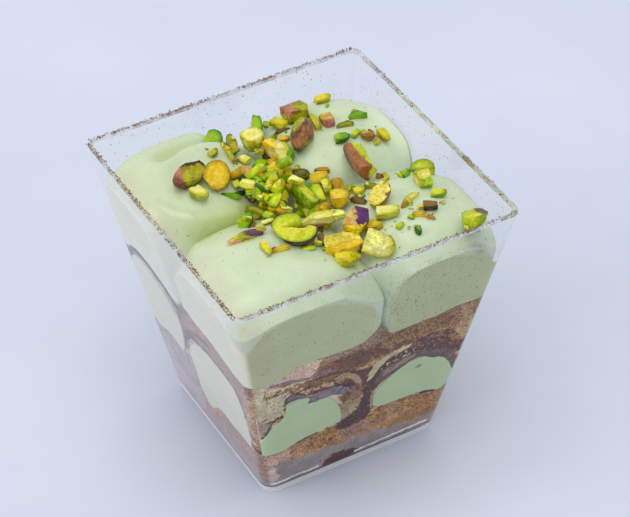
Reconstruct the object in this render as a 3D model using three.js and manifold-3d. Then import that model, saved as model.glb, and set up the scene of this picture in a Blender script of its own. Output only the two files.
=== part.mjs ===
// Pistachio tiramisu in a clear, tapered, square dessert cup.
// Millimetres, +Z up. The origin is the centre of the cup's underside and the front faces -Y.
// From the bottom up: soaked sponge, four piped mounds of pistachio cream, a marbled layer of
// cream and coffee cocoa that runs down between them, a second sponge, four larger mounds of
// pistachio cream, and pistachio kernels: whole pieces lying free, chopped ones stuck to the cream.

import * as THREE from 'three';
import Module from 'manifold-3d';
import { mergeVertices } from 'three/addons/utils/BufferGeometryUtils.js';
import { ConvexGeometry } from 'three/addons/geometries/ConvexGeometry.js';

const wasm = await Module();
wasm.setup();

// ---------- driving dimensions ----------

const CUP = {
  height: 73.5,
  rimSide: 75,
  baseSide: 47.4,
  wall: 1.0,
  floor: 2.8,
  rimCorner: 2.5,
  baseCorner: 3.4,
  edge: 0.35,
  cornerSteps: 4,
};

// Clearance between any two pieces that touch.
const GAP = 0.3;

// Sponge layers and the marbled layer: heights above the table.
const LAYER = {
  spongeFoot: CUP.floor + GAP,
  bottomTop: 18.2,
  marbledTop: 39.2,
  spongeTop: 46,
  lines: 14,
  gather: 1.4,
  skirt: 0.08,
  cornerPower: 9,
};

// Heights rise or sink round these places; x and y run from -1 to 1 across the cup.
const BOTTOM_RELIEF = [
  { x: -0.95, y: 0.65, reach: 0.42, rise: 5.4 },
  { x: -1, y: 0.04, reach: 0.2, rise: -7.2 },
  { x: -1, y: -0.5, reach: 0.35, rise: -1.6 },
  { x: -0.82, y: -1, reach: 0.24, rise: -1.6 },
  { x: 0.9, y: -1, reach: 0.25, rise: -2.4 },
  { x: 0.9, y: 0.7, reach: 0.4, rise: 2 },
];
const MARBLED_RELIEF = [
  { x: -0.72, y: 0.6, reach: 0.6, rise: 8 },
  { x: -0.9, y: -0.6, reach: 0.35, rise: 3 },
  { x: 0, y: -1, reach: 0.2, rise: -1.6 },
  { x: 0.95, y: -0.95, reach: 0.22, rise: -4.5 },
  { x: 0.8, y: 0.8, reach: 0.4, rise: 1.2 },
];
const TOP_RELIEF = [
  { x: -0.72, y: 0.6, reach: 0.55, rise: 3.6 },
  { x: -1, y: -0.45, reach: 0.3, rise: 1.8 },
  { x: -0.55, y: -1, reach: 0.2, rise: 1 },
  { x: -1, y: 0.02, reach: 0.14, rise: -2.5 },
  { x: 0.35, y: -1, reach: 0.3, rise: -0.8 },
];
// The upper sponge is squeezed up into the creases between the cream mounds.
const RIDGE = { height: 3, halfWidth: 0.055, blend: 0.3 };

// Four creases part the upper mounds; left and right, front and back don't quite line up.
const CREASE = { front: 1.2, back: -1, left: 1.5, right: 0 };

// Shape of the upper mounds. The outline is laid out at one level and widens with the cup; rings
// are the shares of it at which the surface is sampled.
const MOUND = {
  level: 66,
  foot: 46,
  dig: 4,
  power: 2.5,
  crownPower: 2.2,
  cornerPower: 10,
  around: 32,
  rings: [1, 0.97, 0.9, 0.78, 0.6, 0.35],
  lowest: 0.01,
  passes: 4,
};

// Half the width that the food fills at a height.
function foodHalf(z) {
  const outer = THREE.MathUtils.mapLinear(z, 0, CUP.height, CUP.baseSide / 2, CUP.rimSide / 2);
  return outer - CUP.wall - GAP;
}

const MOUND_HALF = foodHalf(MOUND.level);

// Each mound fills its quarter of the cup. crown is its highest point, and left, right, front and
// back are the heights at which its surface meets the wall or the crease on that side.
const UPPER_MOUNDS = [
  {
    name: 'cream_top_front_left',
    x: [-MOUND_HALF, CREASE.front],
    y: [-MOUND_HALF, CREASE.left],
    crown: [-19, -16, 70],
    edge: { left: 66.5, right: 65.5, front: 67.6, back: 64.5 },
  },
  {
    name: 'cream_top_front_right',
    x: [CREASE.front, MOUND_HALF],
    y: [-MOUND_HALF, CREASE.right],
    crown: [17, -17, 70.2],
    edge: { left: 65, right: 66, front: 67, back: 65 },
  },
  {
    name: 'cream_top_back_left',
    x: [-MOUND_HALF, CREASE.back],
    y: [CREASE.left, MOUND_HALF],
    crown: [-16, 18, 69.6],
    edge: { left: 66, right: 65.5, front: 61.5, back: 67.3 },
  },
  {
    name: 'cream_top_back_right',
    x: [CREASE.back, MOUND_HALF],
    y: [CREASE.right, MOUND_HALF],
    crown: [17, 16, 70.4],
    edge: { left: 65, right: 65.3, front: 64.5, back: 62.8 },
  },
];

// The fold that the piping left on the back left mound: a groove along an arc.
const FOLD = { centre: [-12.8, 13], radius: 17.3, from: 65, to: 112, fade: 20, width: 2.1, depth: 2.8 };

// The four mounds under the marbled layer, in the same terms, placed at their own height.
const LOWER = {
  level: 28,
  half: foodHalf(28),
  foot: 14,
  dig: 8,
  around: 24,
  rings: [1, 0.92, 0.75, 0.45],
};
const LOWER_MOUNDS = [
  {
    name: 'cream_mid_front_left',
    x: [-LOWER.half, -2.6],
    y: [-LOWER.half, 5],
    crown: [-17, -13, 40],
    edge: { left: 38.8, right: 25, front: 34.4, back: 29 },
  },
  {
    name: 'cream_mid_front_right',
    x: [3.6, LOWER.half],
    y: [-LOWER.half, 1.5],
    crown: [15, -14, 34.5],
    edge: { left: 26, right: 28, front: 31.9, back: 27 },
  },
  {
    name: 'cream_mid_back_left',
    x: [-LOWER.half, -1.5],
    y: [8.5, LOWER.half],
    crown: [-17, 18, 45.9],
    edge: { left: 45.4, right: 31, front: 36, back: 40 },
  },
  {
    name: 'cream_mid_back_right',
    x: [2, LOWER.half],
    y: [5, LOWER.half],
    crown: [15, 17, 37.5],
    edge: { left: 28, right: 34, front: 29, back: 35 },
  },
];

// How much of a kernel is left, along its length, width and height, as shares from -1 to 1.
const CUTS = {
  whole: [[-1, 1], [-1, 1], [-1, 1]],
  half: [[-1, 1], [-1, 1], [-1, 0.1]],
  slice: [[-0.35, 0.35], [-1, 1], [-1, 1]],
  slab: [[-0.9, 0.75], [-0.25, 1], [-0.8, 0.7]],
  block: [[-0.5, 0.6], [-0.9, 0.65], [-1, 0.45]],
  wedge: [[-0.2, 1], [-1, 0.5], [-1, 0.3]],
};

// Pistachio pieces that lie free: middle, size, and turn in degrees as heading, pitch and roll.
const KERNELS = {
  slab_curved: { at: [-1, -1.3, 68.8], size: [11.6, 5.4, 3.9], turn: [-90, 0, -24], cut: 'slab' },
  split_half: { at: [-9, -14, 70.2], size: [11.7, 8.1, 3.7], turn: [-64, -4, 14], cut: 'half' },
  skin_big: { at: [16.9, 0.8, 70], size: [11, 4.3, 5], turn: [-100, -6, 6], cut: 'block' },
  whole: { at: [9.7, 15.8, 71.2], size: [11.7, 5.3, 5.6], turn: [56, 0, 0], cut: 'whole' },
  chunk_back: { at: [12.8, 23.9, 70.8], size: [5.8, 5.3, 3.9], turn: [7, 6, -14], cut: 'block' },
  half_pink: { at: [-20.9, 16.1, 70.5], size: [9.7, 5.4, 4.4], turn: [15, 0, 28], cut: 'half' },
  round_slice: { at: [-15.2, 12.5, 71.2], size: [3, 6.5, 7.3], turn: [-119, -44, 0], cut: 'slice' },
  slab_green: { at: [3.2, 15, 70], size: [8, 4.2, 4.3], turn: [-74, 4, 8], cut: 'slab' },
  purple: { at: [4.9, -18.3, 70.8], size: [6.4, 4.5, 4.5], turn: [31, 0, 16], cut: 'block' },
  long_yellow: { at: [-1.6, -12, 70], size: [11.4, 3.3, 2.6], turn: [-15, 0, 0], cut: 'slab' },
  orange_block: { at: [-1.1, -22, 68.2], size: [8.2, 5.1, 4.5], turn: [-21, 0, 8], cut: 'block' },
  yellow_chunk: { at: [6.1, -26.6, 69.4], size: [5.4, 7.3, 3.7], turn: [46, 0, 12], cut: 'wedge' },
  kernel_end: { at: [13.3, -13.9, 71], size: [8.2, 4.9, 3.6], turn: [38, 0, 0], cut: 'half' },
  pale_block: { at: [-1.2, 20.9, 69.8], size: [5.6, 5.7, 4.8], turn: [61, 0, 0], cut: 'block' },
  gold_block: { at: [6.2, -8.1, 69.4], size: [4.4, 4, 3.4], turn: [71, 10, 0], cut: 'block' },
  right_block: { at: [25.6, -12.5, 70.1], size: [5.5, 4.5, 3.2], turn: [71, 0, 0], cut: 'slab' },
  corner_half: { at: [28.4, -31.8, 70.4], size: [8.4, 5.8, 4.1], turn: [11, 6, -20], cut: 'half' },
};
// The kernels that show more of their brown skin than of their green flesh.
const SKINNED = ['skin_big', 'whole', 'half_pink', 'purple'];

// The chopped pieces, which stick to the mound under them: place, size and heading.
const CHOPPED = [
  { at: [-21.2, 10.4], size: [4.8, 3.2, 2.6], heading: -76, cut: 'wedge' },
  { at: [-10.9, 21.7], size: [2.9, 1.9, 1.5], heading: 16, cut: 'wedge' },
  { at: [-7.1, 21], size: [8.7, 1.9, 1.5], heading: -98, cut: 'slab' },
  { at: [-5.3, 23.4], size: [7.8, 2.6, 2.1], heading: -109, cut: 'half' },
  { at: [-5.4, 17.4], size: [2.7, 2.2, 1.8], heading: -73, cut: 'block' },
  { at: [-7.7, 12.4], size: [3.2, 2.9, 2.3], heading: -31, cut: 'wedge' },
  { at: [-13.8, 8], size: [4.9, 1.3, 1], heading: -43, cut: 'slab' },
  { at: [-9.7, 6.6], size: [5.5, 2.3, 1.9], heading: -96, cut: 'half' },
  { at: [-2.6, 14.5], size: [2.6, 3.4, 2.7], heading: -55, cut: 'block' },
  { at: [-15.4, -2.5], size: [4.8, 3.3, 2.7], heading: 36, cut: 'wedge' },
  { at: [-19.5, -8.6], size: [8.6, 1.9, 1.5], heading: -5, cut: 'slab' },
  { at: [-11.7, -6.1], size: [3.3, 1.4, 1.1], heading: -6, cut: 'wedge' },
  { at: [8, 23.9], size: [4.3, 2.7, 2.2], heading: -65, cut: 'block' },
  { at: [7.5, 21.7], size: [4.6, 1.1, 0.9], heading: -12, cut: 'slab' },
  { at: [6.1, 18], size: [2.6, 1.9, 1.6], heading: -22, cut: 'wedge' },
  { at: [1.6, 17.6], size: [3.5, 1.7, 1.4], heading: -19, cut: 'slab' },
  { at: [15.3, 18.8], size: [6, 2, 1.6], heading: -103, cut: 'slab' },
  { at: [3.9, 7], size: [5, 3.5, 2.8], heading: -31, cut: 'whole' },
  { at: [9, 5.2], size: [3.7, 1.5, 1.2], heading: -25, cut: 'slab' },
  { at: [-3, -12], size: [4.6, 1.2, 1], heading: -48, cut: 'slab' },
  { at: [-3.9, -17.3], size: [3.7, 1.5, 1.2], heading: -101, cut: 'block' },
  { at: [-17.8, -15.9], size: [4.4, 1.8, 1.4], heading: -99, cut: 'wedge' },
  { at: [-14.7, -16.9], size: [4.4, 1.4, 1.1], heading: -8, cut: 'slab' },
  { at: [22.1, 26.9], size: [4.2, 2.7, 2.2], heading: -15, cut: 'wedge' },
  { at: [17.7, 17.6], size: [4.4, 2.8, 2.2], heading: -97, cut: 'block' },
  { at: [20.7, 14.6], size: [4.3, 1.5, 1.2], heading: -11, cut: 'slab' },
  { at: [25.4, 16.8], size: [4.5, 2.4, 1.9], heading: -8, cut: 'slab' },
  { at: [17.6, 10.1], size: [3.7, 2.7, 2.1], heading: -19, cut: 'wedge' },
  { at: [23.8, 8.6], size: [3.9, 2.6, 2.1], heading: -48, cut: 'half' },
  { at: [27.7, 8], size: [4.9, 2.3, 1.8], heading: -101, cut: 'wedge' },
  { at: [9.9, -5.1], size: [2.8, 2.1, 1.7], heading: -83, cut: 'block' },
  { at: [9.9, -10.5], size: [3.9, 1.7, 1.3], heading: -56, cut: 'slab' },
  { at: [11.6, -8.2], size: [2.8, 2.3, 1.9], heading: -11, cut: 'wedge' },
  { at: [14.7, -7.3], size: [3.2, 1.7, 1.4], heading: -18, cut: 'slab' },
  { at: [12.5, -19.7], size: [5.7, 3.5, 2.8], heading: -27, cut: 'wedge' },
  { at: [8, -20.6], size: [3.7, 2.6, 2.1], heading: -7, cut: 'block' },
  { at: [19.9, -16.9], size: [4.8, 1.6, 1.3], heading: 16, cut: 'slab' },
  { at: [24.5, -7.7], size: [2.4, 2.1, 1.7], heading: -7, cut: 'wedge' },
  { at: [26.6, -18.9], size: [3.7, 2.4, 1.9], heading: -36, cut: 'wedge' },
  { at: [22.3, -22], size: [3.2, 2.4, 1.9], heading: -25, cut: 'block' },
  { at: [18.6, -22.7], size: [3, 1.5, 1.2], heading: -31, cut: 'slab' },
  { at: [-2.7, -25.8], size: [4.7, 3.9, 3.1], heading: -31, cut: 'block' },
  { at: [-6.6, 29.6], size: [5.6, 4.2, 4.4], heading: 50, cut: 'wedge' },
  { at: [3.4, 26.6], size: [6.4, 2.8, 6], heading: 58, cut: 'wedge' },
  { at: [30, -5.6], size: [5.6, 4.6, 3.6], heading: -22, cut: 'slab' },
];

// Subdivision of the ball that a kernel's and a chopped piece's points come from.
const KERNEL_DETAIL = 1;
const CHOPPED_DETAIL = 0;
// Share of a chopped piece's height that shows above the cream.
const SHOWING = 0.72;

const DEGREE = Math.PI / 180;

// ---------- materials ----------

function finish(color, roughness, options = {}) {
  return new THREE.MeshStandardMaterial({ color, roughness, metalness: 0, ...options });
}

const MATERIALS = {
  plastic: finish(0xe8eef2, 0.08, { transparent: true, opacity: 0.3 }),
  cream: finish(0xc9dcb6, 0.45),
  sponge: finish(0x9a7048, 0.9),
  marbled: finish(0x4a3029, 0.6),
  pistachio: finish(0xb6bf3c, 0.55),
  skin: finish(0x8a5a44, 0.7),
};

// ---------- closed surfaces ----------

function geometryFrom(points, triangles) {
  const geometry = new THREE.BufferGeometry();
  geometry.setAttribute('position', new THREE.Float32BufferAttribute(points.flat(), 3));
  geometry.setIndex(triangles);
  return geometry;
}

// A closed skin over rings of equal length; the first and last ring are closed by a fan.
// Rings run anticlockwise seen from above, and follow one another outwards from the underside.
function loft(rings, firstTip, lastTip) {
  const count = rings[0].length;
  const points = [firstTip, ...rings.flat(), lastTip];
  const last = points.length - 1;
  const triangles = [];
  for (let j = 0; j < count; j++) {
    const next = (j + 1) % count;
    triangles.push(0, 1 + next, 1 + j);
    for (let i = 0; i + 1 < rings.length; i++) {
      const low = 1 + i * count;
      const high = low + count;
      triangles.push(low + j, low + next, high + next, low + j, high + next, high + j);
    }
    const top = last - count;
    triangles.push(top + j, top + next, last);
  }
  return geometryFrom(points, triangles);
}

// A slab between two heights over the whole cup. The grid lines gather at the creases, where the
// relief is finest, and the square's corners are drawn in to the cup's round corners. A skirt
// carries the surfaces on past the edge, for a slab that only cuts what lies on it.
function slab(low, high, skirt = 0) {
  const xs = gridLines(CREASE.front / MOUND_HALF, skirt);
  const ys = gridLines(CREASE.left / MOUND_HALF, skirt);
  const lines = xs.length - 1;
  const points = [];
  for (const height of [low, high]) {
    for (const y of ys) {
      for (const x of xs) {
        points.push(placed(x, y, height));
      }
    }
  }
  const across = lines + 1;
  const upper = across * across;
  const triangles = [];
  for (let j = 0; j < lines; j++) {
    for (let i = 0; i < lines; i++) {
      const a = j * across + i;
      const c = a + across;
      triangles.push(a, c + 1, a + 1, a, c, c + 1);
      triangles.push(upper + a, upper + a + 1, upper + c + 1, upper + a, upper + c + 1, upper + c);
    }
  }
  const rim = [];
  for (let i = 0; i < lines; i++) rim.push(i);
  for (let j = 0; j < lines; j++) rim.push(j * across + lines);
  for (let i = lines; i > 0; i--) rim.push(lines * across + i);
  for (let j = lines; j > 0; j--) rim.push(j * across);
  rim.forEach((a, k) => {
    const b = rim[(k + 1) % rim.length];
    triangles.push(a, b, upper + b, a, upper + b, upper + a);
  });
  return geometryFrom(points, triangles);
}

// Shares of the food's width, from wall to wall and closer together at the crease.
function gridLines(crease, skirt) {
  const lines = Array.from({ length: LAYER.lines + 1 }, (_, i) => {
    const t = (2 * i) / LAYER.lines - 1;
    return crease + (Math.sign(t) - crease) * Math.abs(t) ** LAYER.gather;
  });
  return skirt ? [-1 - skirt, ...lines, 1 + skirt] : lines;
}

function roundedCorner(x, y) {
  const square = Math.max(Math.abs(x), Math.abs(y));
  if (square === 0) return [0, 0];
  const power = LAYER.cornerPower;
  const round = (Math.abs(x / square) ** power + Math.abs(y / square) ** power) ** (1 / power);
  return [x / round, y / round];
}

// The point of the food at a share of its width and depth, at the height that a surface has there.
function placed(x, y, height) {
  const clamp = THREE.MathUtils.clamp;
  const z = height(...roundedCorner(clamp(x, -1, 1), clamp(y, -1, 1)));
  const [shareX, shareY] = roundedCorner(x, y);
  return [shareX * foodHalf(z), shareY * foodHalf(z), z];
}

// ---------- solids ----------

function solidOf(geometry) {
  const bare = geometry.clone();
  bare.deleteAttribute('normal');
  bare.deleteAttribute('uv');
  const merged = mergeVertices(bare);
  return new wasm.Manifold(new wasm.Mesh({
    numProp: 3,
    vertProperties: new Float32Array(merged.attributes.position.array),
    triVerts: new Uint32Array(merged.index.array),
  }));
}

function geometryOf(solid) {
  const mesh = solid.getMesh();
  const geometry = new THREE.BufferGeometry();
  geometry.setAttribute('position', new THREE.BufferAttribute(mesh.vertProperties, 3));
  geometry.setIndex(new THREE.BufferAttribute(mesh.triVerts, 1));
  geometry.computeVertexNormals();
  return geometry;
}

// The largest body of a solid, so that no loose scrap is left.
function largest(solid) {
  const bodies = solid.decompose();
  bodies.sort((a, b) => b.volume() - a.volume());
  return bodies[0];
}

// ---------- the cup ----------

function squareRing(half, corner, z) {
  const ring = [];
  const inset = half - corner;
  for (let quarter = 0; quarter < 4; quarter++) {
    const turn = (quarter * Math.PI) / 2;
    const middle = turn + Math.PI / 4;
    const cx = Math.SQRT2 * inset * Math.cos(middle);
    const cy = Math.SQRT2 * inset * Math.sin(middle);
    for (let step = 0; step <= CUP.cornerSteps; step++) {
      const angle = turn + (step * Math.PI) / 2 / CUP.cornerSteps;
      ring.push([cx + corner * Math.cos(angle), cy + corner * Math.sin(angle), z]);
    }
  }
  return ring;
}

// One moulded shell: underside, outer wall, rounded rim, inner wall and inner floor.
function cupGeometry() {
  const { height, wall, floor, edge } = CUP;
  const half = (z) => THREE.MathUtils.mapLinear(z, 0, height, CUP.baseSide / 2, CUP.rimSide / 2);
  const corner = (z) => THREE.MathUtils.mapLinear(z, 0, height, CUP.baseCorner, CUP.rimCorner);
  const ring = (z, inset) => squareRing(half(z) - inset, Math.max(corner(z) - inset / 2, edge), z);
  const rings = [
    ring(0, 2 * edge),
    ring(2 * edge, 0),
    ring(height - edge, 0),
    ring(height, edge),
    ring(height, wall - edge),
    ring(height - edge, wall),
    ring(floor + edge, wall),
    ring(floor, wall + edge),
  ];
  return loft(rings, [0, 0, 0], [0, 0, floor]);
}

// ---------- sponge and marbled layers ----------

function relief(places, x, y) {
  return places.reduce((sum, place) => {
    const far = Math.hypot(x - place.x, y - place.y) / place.reach;
    return sum + place.rise * Math.exp(-far * far);
  }, 0);
}

function ridge(x, y) {
  const toBack = THREE.MathUtils.smoothstep(y, -RIDGE.blend, RIDGE.blend);
  const creaseX = THREE.MathUtils.lerp(CREASE.front, CREASE.back, toBack) / MOUND_HALF;
  const creaseY = THREE.MathUtils.lerp(CREASE.left, CREASE.right, (x + 1) / 2) / MOUND_HALF;
  const near = Math.min(Math.abs(x - creaseX), Math.abs(y - creaseY)) / RIDGE.halfWidth;
  return RIDGE.height * Math.exp(-near * near);
}

const bottomSpongeTop = (x, y) => LAYER.bottomTop + relief(BOTTOM_RELIEF, x, y);
const marbledTop = (x, y) => LAYER.marbledTop + relief(MARBLED_RELIEF, x, y);
const topSpongeTop = (x, y) => LAYER.spongeTop + relief(TOP_RELIEF, x, y) + ridge(x, y);
const raised = (height, by) => (x, y) => height(x, y) + by;

// ---------- cream mounds ----------

// How far a side's height falls short of the crown, as a share for the mound's formula.
function fall(edge, crown, foot) {
  return 1 - ((edge - foot) / (crown - foot)) ** MOUND.crownPower;
}

// Height of a mound over a place; beyond its own quarter it goes on falling to its foot.
function moundHeight(mound, foot, x, y) {
  const [cx, cy, top] = mound.crown;
  const sideX = x < cx ? 0 : 1;
  const sideY = y < cy ? 0 : 1;
  const edgeX = sideX ? mound.edge.right : mound.edge.left;
  const edgeY = sideY ? mound.edge.back : mound.edge.front;
  const alongX = Math.abs((x - cx) / (mound.x[sideX] - cx)) ** MOUND.power;
  const alongY = Math.abs((y - cy) / (mound.y[sideY] - cy)) ** MOUND.power;
  const left = 1 - fall(edgeX, top, foot) * alongX - fall(edgeY, top, foot) * alongY;
  return foot + (top - foot) * Math.max(left, MOUND.lowest) ** (1 / MOUND.crownPower);
}

// The groove that the fold adds to the back left mound.
function foldDepth(x, y) {
  const [cx, cy] = FOLD.centre;
  const off = (Math.hypot(x - cx, y - cy) - FOLD.radius) / FOLD.width;
  const angle = Math.atan2(y - cy, x - cx) / DEGREE;
  const start = THREE.MathUtils.smoothstep(angle, FOLD.from - FOLD.fade, FOLD.from);
  const end = 1 - THREE.MathUtils.smoothstep(angle, FOLD.to, FOLD.to + FOLD.fade);
  return FOLD.depth * start * end * Math.exp(-off * off);
}

function upperHeight(mound, x, y) {
  const plain = moundHeight(mound, MOUND.foot, x, y);
  return mound.name.endsWith('back_left') ? plain - foldDepth(x, y) : plain;
}

// The outline of a mound round its crown: its quarter of the cup with round corners, drawn in by
// half a gap at the creases.
function moundOutline(mound, shape) {
  const [cx, cy] = mound.crown;
  const inset = (limit) => (Math.abs(limit) > shape.half - GAP / 2 ? 0 : GAP / 2);
  const reach = (limits, centre, direction) => {
    const limit = limits[direction < 0 ? 0 : 1];
    return Math.abs(limit - centre) - inset(limit);
  };
  return Array.from({ length: shape.around }, (_, j) => {
    const angle = (2 * Math.PI * j) / shape.around;
    const [ux, uy] = [Math.cos(angle), Math.sin(angle)];
    const alongX = Math.abs(ux / reach(mound.x, cx, ux)) ** MOUND.cornerPower;
    const alongY = Math.abs(uy / reach(mound.y, cy, uy)) ** MOUND.cornerPower;
    return [ux, uy].map((part) => part * (alongX + alongY) ** (-1 / MOUND.cornerPower));
  });
}

// A mound as a loft of rings from its underside, up its sides and over its top. It widens with
// the cup, and grow swells it all over to make the hollow that it lies in.
function moundGeometry(mound, shape, height, grow = 0) {
  const [cx, cy] = mound.crown;
  const outline = moundOutline(mound, shape);
  const point = (dx, dy, z) => {
    const scale = foodHalf(z) / shape.half;
    const wide = 1 + grow / Math.max(Math.hypot(dx, dy), 1);
    return [(cx + wide * dx) * scale, (cy + wide * dy) * scale, z + grow];
  };
  const bottom = shape.foot - shape.dig - grow;
  const lowest = outline.map(([dx, dy]) => point(dx, dy, bottom));
  const ringAt = (share) => outline.map(([fullX, fullY]) => {
    const [dx, dy] = [share * fullX, share * fullY];
    return point(dx, dy, height(cx + dx, cy + dy));
  });
  const rings = [lowest, ...shape.rings.map(ringAt)];
  return loft(rings, point(0, 0, bottom), point(0, 0, height(cx, cy)));
}

function lowerMound(mound, grow = 0) {
  const height = (x, y) => moundHeight(mound, LOWER.foot, x, y);
  return solidOf(moundGeometry(mound, LOWER, height, grow));
}

function upperMound(mound) {
  const shape = { ...MOUND, half: MOUND_HALF };
  return solidOf(moundGeometry(mound, shape, (x, y) => upperHeight(mound, x, y)));
}

function moundUnder(x, y) {
  const isLeft = x < (y < CREASE.left ? CREASE.front : CREASE.back);
  const isFront = y < (isLeft ? CREASE.left : CREASE.right);
  return UPPER_MOUNDS[(isFront ? 0 : 2) + (isLeft ? 0 : 1)];
}

// Height of the cream's surface at a place, allowing for the cup's taper.
function creamHeight(x, y) {
  const mound = moundUnder(x, y);
  let z = MOUND.level;
  for (let pass = 0; pass < MOUND.passes; pass++) {
    const scale = foodHalf(z) / MOUND_HALF;
    z = upperHeight(mound, x / scale, y / scale);
  }
  return z;
}

// ---------- pistachio pieces ----------

// A piece of kernel: points of an egg shape, each held inside the cuts, in their convex hull.
function kernelSolid({ size, turn, at, cut }, detail, grow = 0) {
  const ball = new THREE.IcosahedronGeometry(1, detail).attributes.position;
  const [heading, pitch, roll] = turn;
  const euler = new THREE.Euler(roll * DEGREE, pitch * DEGREE, heading * DEGREE, 'ZYX');
  const points = [];
  for (let i = 0; i < ball.count; i++) {
    const share = [ball.getX(i), ball.getY(i), ball.getZ(i)];
    const local = share.map((value, axis) => {
      const [low, high] = CUTS[cut][axis];
      const held = THREE.MathUtils.clamp(value, low, high);
      return (size[axis] + 2 * grow) * ((held - low) / (high - low) - 0.5);
    });
    points.push(new THREE.Vector3(...local).applyEuler(euler).add(new THREE.Vector3(...at)));
  }
  return solidOf(new ConvexGeometry(points));
}

// Sets a chopped piece on the cream under it, sunk in by the rest of its height.
function settled(piece) {
  const [x, y] = piece.at;
  const z = creamHeight(x, y) + piece.size[2] * (SHOWING - 0.5);
  return { ...piece, at: [x, y, z] };
}

// Moves a piece off a crease it would cross, to the side on which it lies.
function offCrease(piece) {
  const mound = moundUnder(...piece.at);
  const reach = piece.size[0] / 2 + GAP;
  const at = [mound.x, mound.y].map(([low, high], axis) => (
    THREE.MathUtils.clamp(piece.at[axis], low + reach, high - reach)
  ));
  return { ...piece, at };
}

// ---------- assembly ----------

const tiramisu = new THREE.Group();

function add(name, geometry, material) {
  const mesh = new THREE.Mesh(geometry, material);
  mesh.name = name;
  tiramisu.add(mesh);
}

add('cup', cupGeometry(), MATERIALS.plastic);

const spongeBottom = slab(() => LAYER.spongeFoot, bottomSpongeTop);
add('sponge_bottom', spongeBottom, MATERIALS.sponge);

// What clears the underside of the pieces that lie on a layer.
const clearing = (top) => solidOf(slab(() => 0, raised(top, GAP), LAYER.skirt));
const overBottomSponge = clearing(bottomSpongeTop);
let marbled = solidOf(slab(raised(bottomSpongeTop, GAP), marbledTop));
for (const mound of LOWER_MOUNDS) {
  add(mound.name, geometryOf(largest(lowerMound(mound).subtract(overBottomSponge))), MATERIALS.cream);
  marbled = marbled.subtract(lowerMound(mound, GAP));
}
add('marbled_layer', geometryOf(largest(marbled)), MATERIALS.marbled);

const spongeTop = slab(raised(marbledTop, GAP), topSpongeTop);
add('sponge_top', spongeTop, MATERIALS.sponge);

// Each free kernel gives way to those laid before it, and the cream gives way to all of them.
const hollows = [];
for (const [name, kernel] of Object.entries(KERNELS)) {
  const whole = kernelSolid(kernel, KERNEL_DETAIL);
  const fitted = hollows.reduce((solid, hollow) => solid.subtract(hollow), whole);
  const material = SKINNED.includes(name) ? MATERIALS.skin : MATERIALS.pistachio;
  add(`pistachio_${name}`, geometryOf(largest(fitted)), material);
  hollows.push(kernelSolid(kernel, KERNEL_DETAIL, GAP));
}

const overTopSponge = clearing(topSpongeTop);
const chopped = CHOPPED.map(offCrease).map(settled);
for (const mound of UPPER_MOUNDS) {
  const own = chopped.filter(({ at }) => moundUnder(at[0], at[1]) === mound);
  let solid = upperMound(mound);
  for (const piece of own) {
    solid = solid.add(kernelSolid({ ...piece, turn: [piece.heading, 0, 0] }, CHOPPED_DETAIL));
  }
  for (const hollow of hollows) {
    solid = solid.subtract(hollow);
  }
  add(mound.name, geometryOf(largest(solid.subtract(overTopSponge))), MATERIALS.cream);
}

export default tiramisu;
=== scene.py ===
"""Pistachio tiramisu in a clear square cup: its looks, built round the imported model.

Lengths are in millimetres until a mesh is made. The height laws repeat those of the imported
solids, so each piece here lies where its solid lies.
"""
import math
import bpy
import bmesh
import numpy as np
from mathutils import Matrix, Vector
from mathutils.bvhtree import BVHTree


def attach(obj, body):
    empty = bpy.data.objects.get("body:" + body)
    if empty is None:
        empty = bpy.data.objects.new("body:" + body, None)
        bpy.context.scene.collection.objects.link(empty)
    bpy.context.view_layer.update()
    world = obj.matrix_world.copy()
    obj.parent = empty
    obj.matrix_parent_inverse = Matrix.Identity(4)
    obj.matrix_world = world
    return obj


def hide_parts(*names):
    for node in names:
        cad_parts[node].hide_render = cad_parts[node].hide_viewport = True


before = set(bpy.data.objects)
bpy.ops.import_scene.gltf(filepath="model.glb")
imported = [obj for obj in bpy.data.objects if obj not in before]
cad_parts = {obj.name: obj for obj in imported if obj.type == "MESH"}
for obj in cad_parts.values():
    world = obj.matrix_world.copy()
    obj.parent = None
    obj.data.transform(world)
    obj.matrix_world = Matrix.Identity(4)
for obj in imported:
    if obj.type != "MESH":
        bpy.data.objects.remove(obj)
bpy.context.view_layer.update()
MM = 0.001

# ---------- camera first ----------

# Solved from the photo: how far the camera is turned about the cup, raised and tilted, what it looks
# at and from how far, its lens, and how far its picture is shifted.
YAW, PITCH, ROLL = (math.radians(a) for a in (-28.846, 41.3605, -1.2324))
LOOK, DISTANCE = Vector((0, 0, 37.5)), 638.15
LENS, SHIFT = 150.77, (0.0209, 0.0528)


def make_camera():
    back = Vector((math.sin(YAW) * math.cos(PITCH), -math.cos(YAW) * math.cos(PITCH), math.sin(PITCH)))
    level = Vector((math.cos(YAW), math.sin(YAW), 0))
    steep = back.cross(level)
    right = math.cos(ROLL) * level + math.sin(ROLL) * steep
    up = -math.sin(ROLL) * level + math.cos(ROLL) * steep
    data = bpy.data.cameras.new("camera")
    data.sensor_width, data.lens = 36, LENS
    data.shift_x, data.shift_y = SHIFT
    data.clip_start, data.clip_end = 0.05, 10
    camera = bpy.data.objects.new("camera", data)
    bpy.context.scene.collection.objects.link(camera)
    matrix = Matrix((right, up, back)).transposed().to_4x4()
    matrix.translation = (LOOK + back * DISTANCE) * MM
    camera.matrix_world = matrix
    bpy.context.scene.camera = camera


make_camera()

# ---------- the laws that the solids follow ----------

HEIGHT, RIM, BASE, WALL, FLOOR, GAP = 73.5, 75.0, 47.4, 1.0, 2.8, 0.3
RIM_CORNER, BASE_CORNER = 2.5, 3.4
CREASE = {"front": 1.2, "back": -1.0, "left": 1.5, "right": 0.0}


def mix(a, b, t):
    return a + (b - a) * t


def step(low, high, value):
    t = np.clip((value - low) / (high - low), 0, 1)
    return t * t * (3 - 2 * t)


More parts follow.
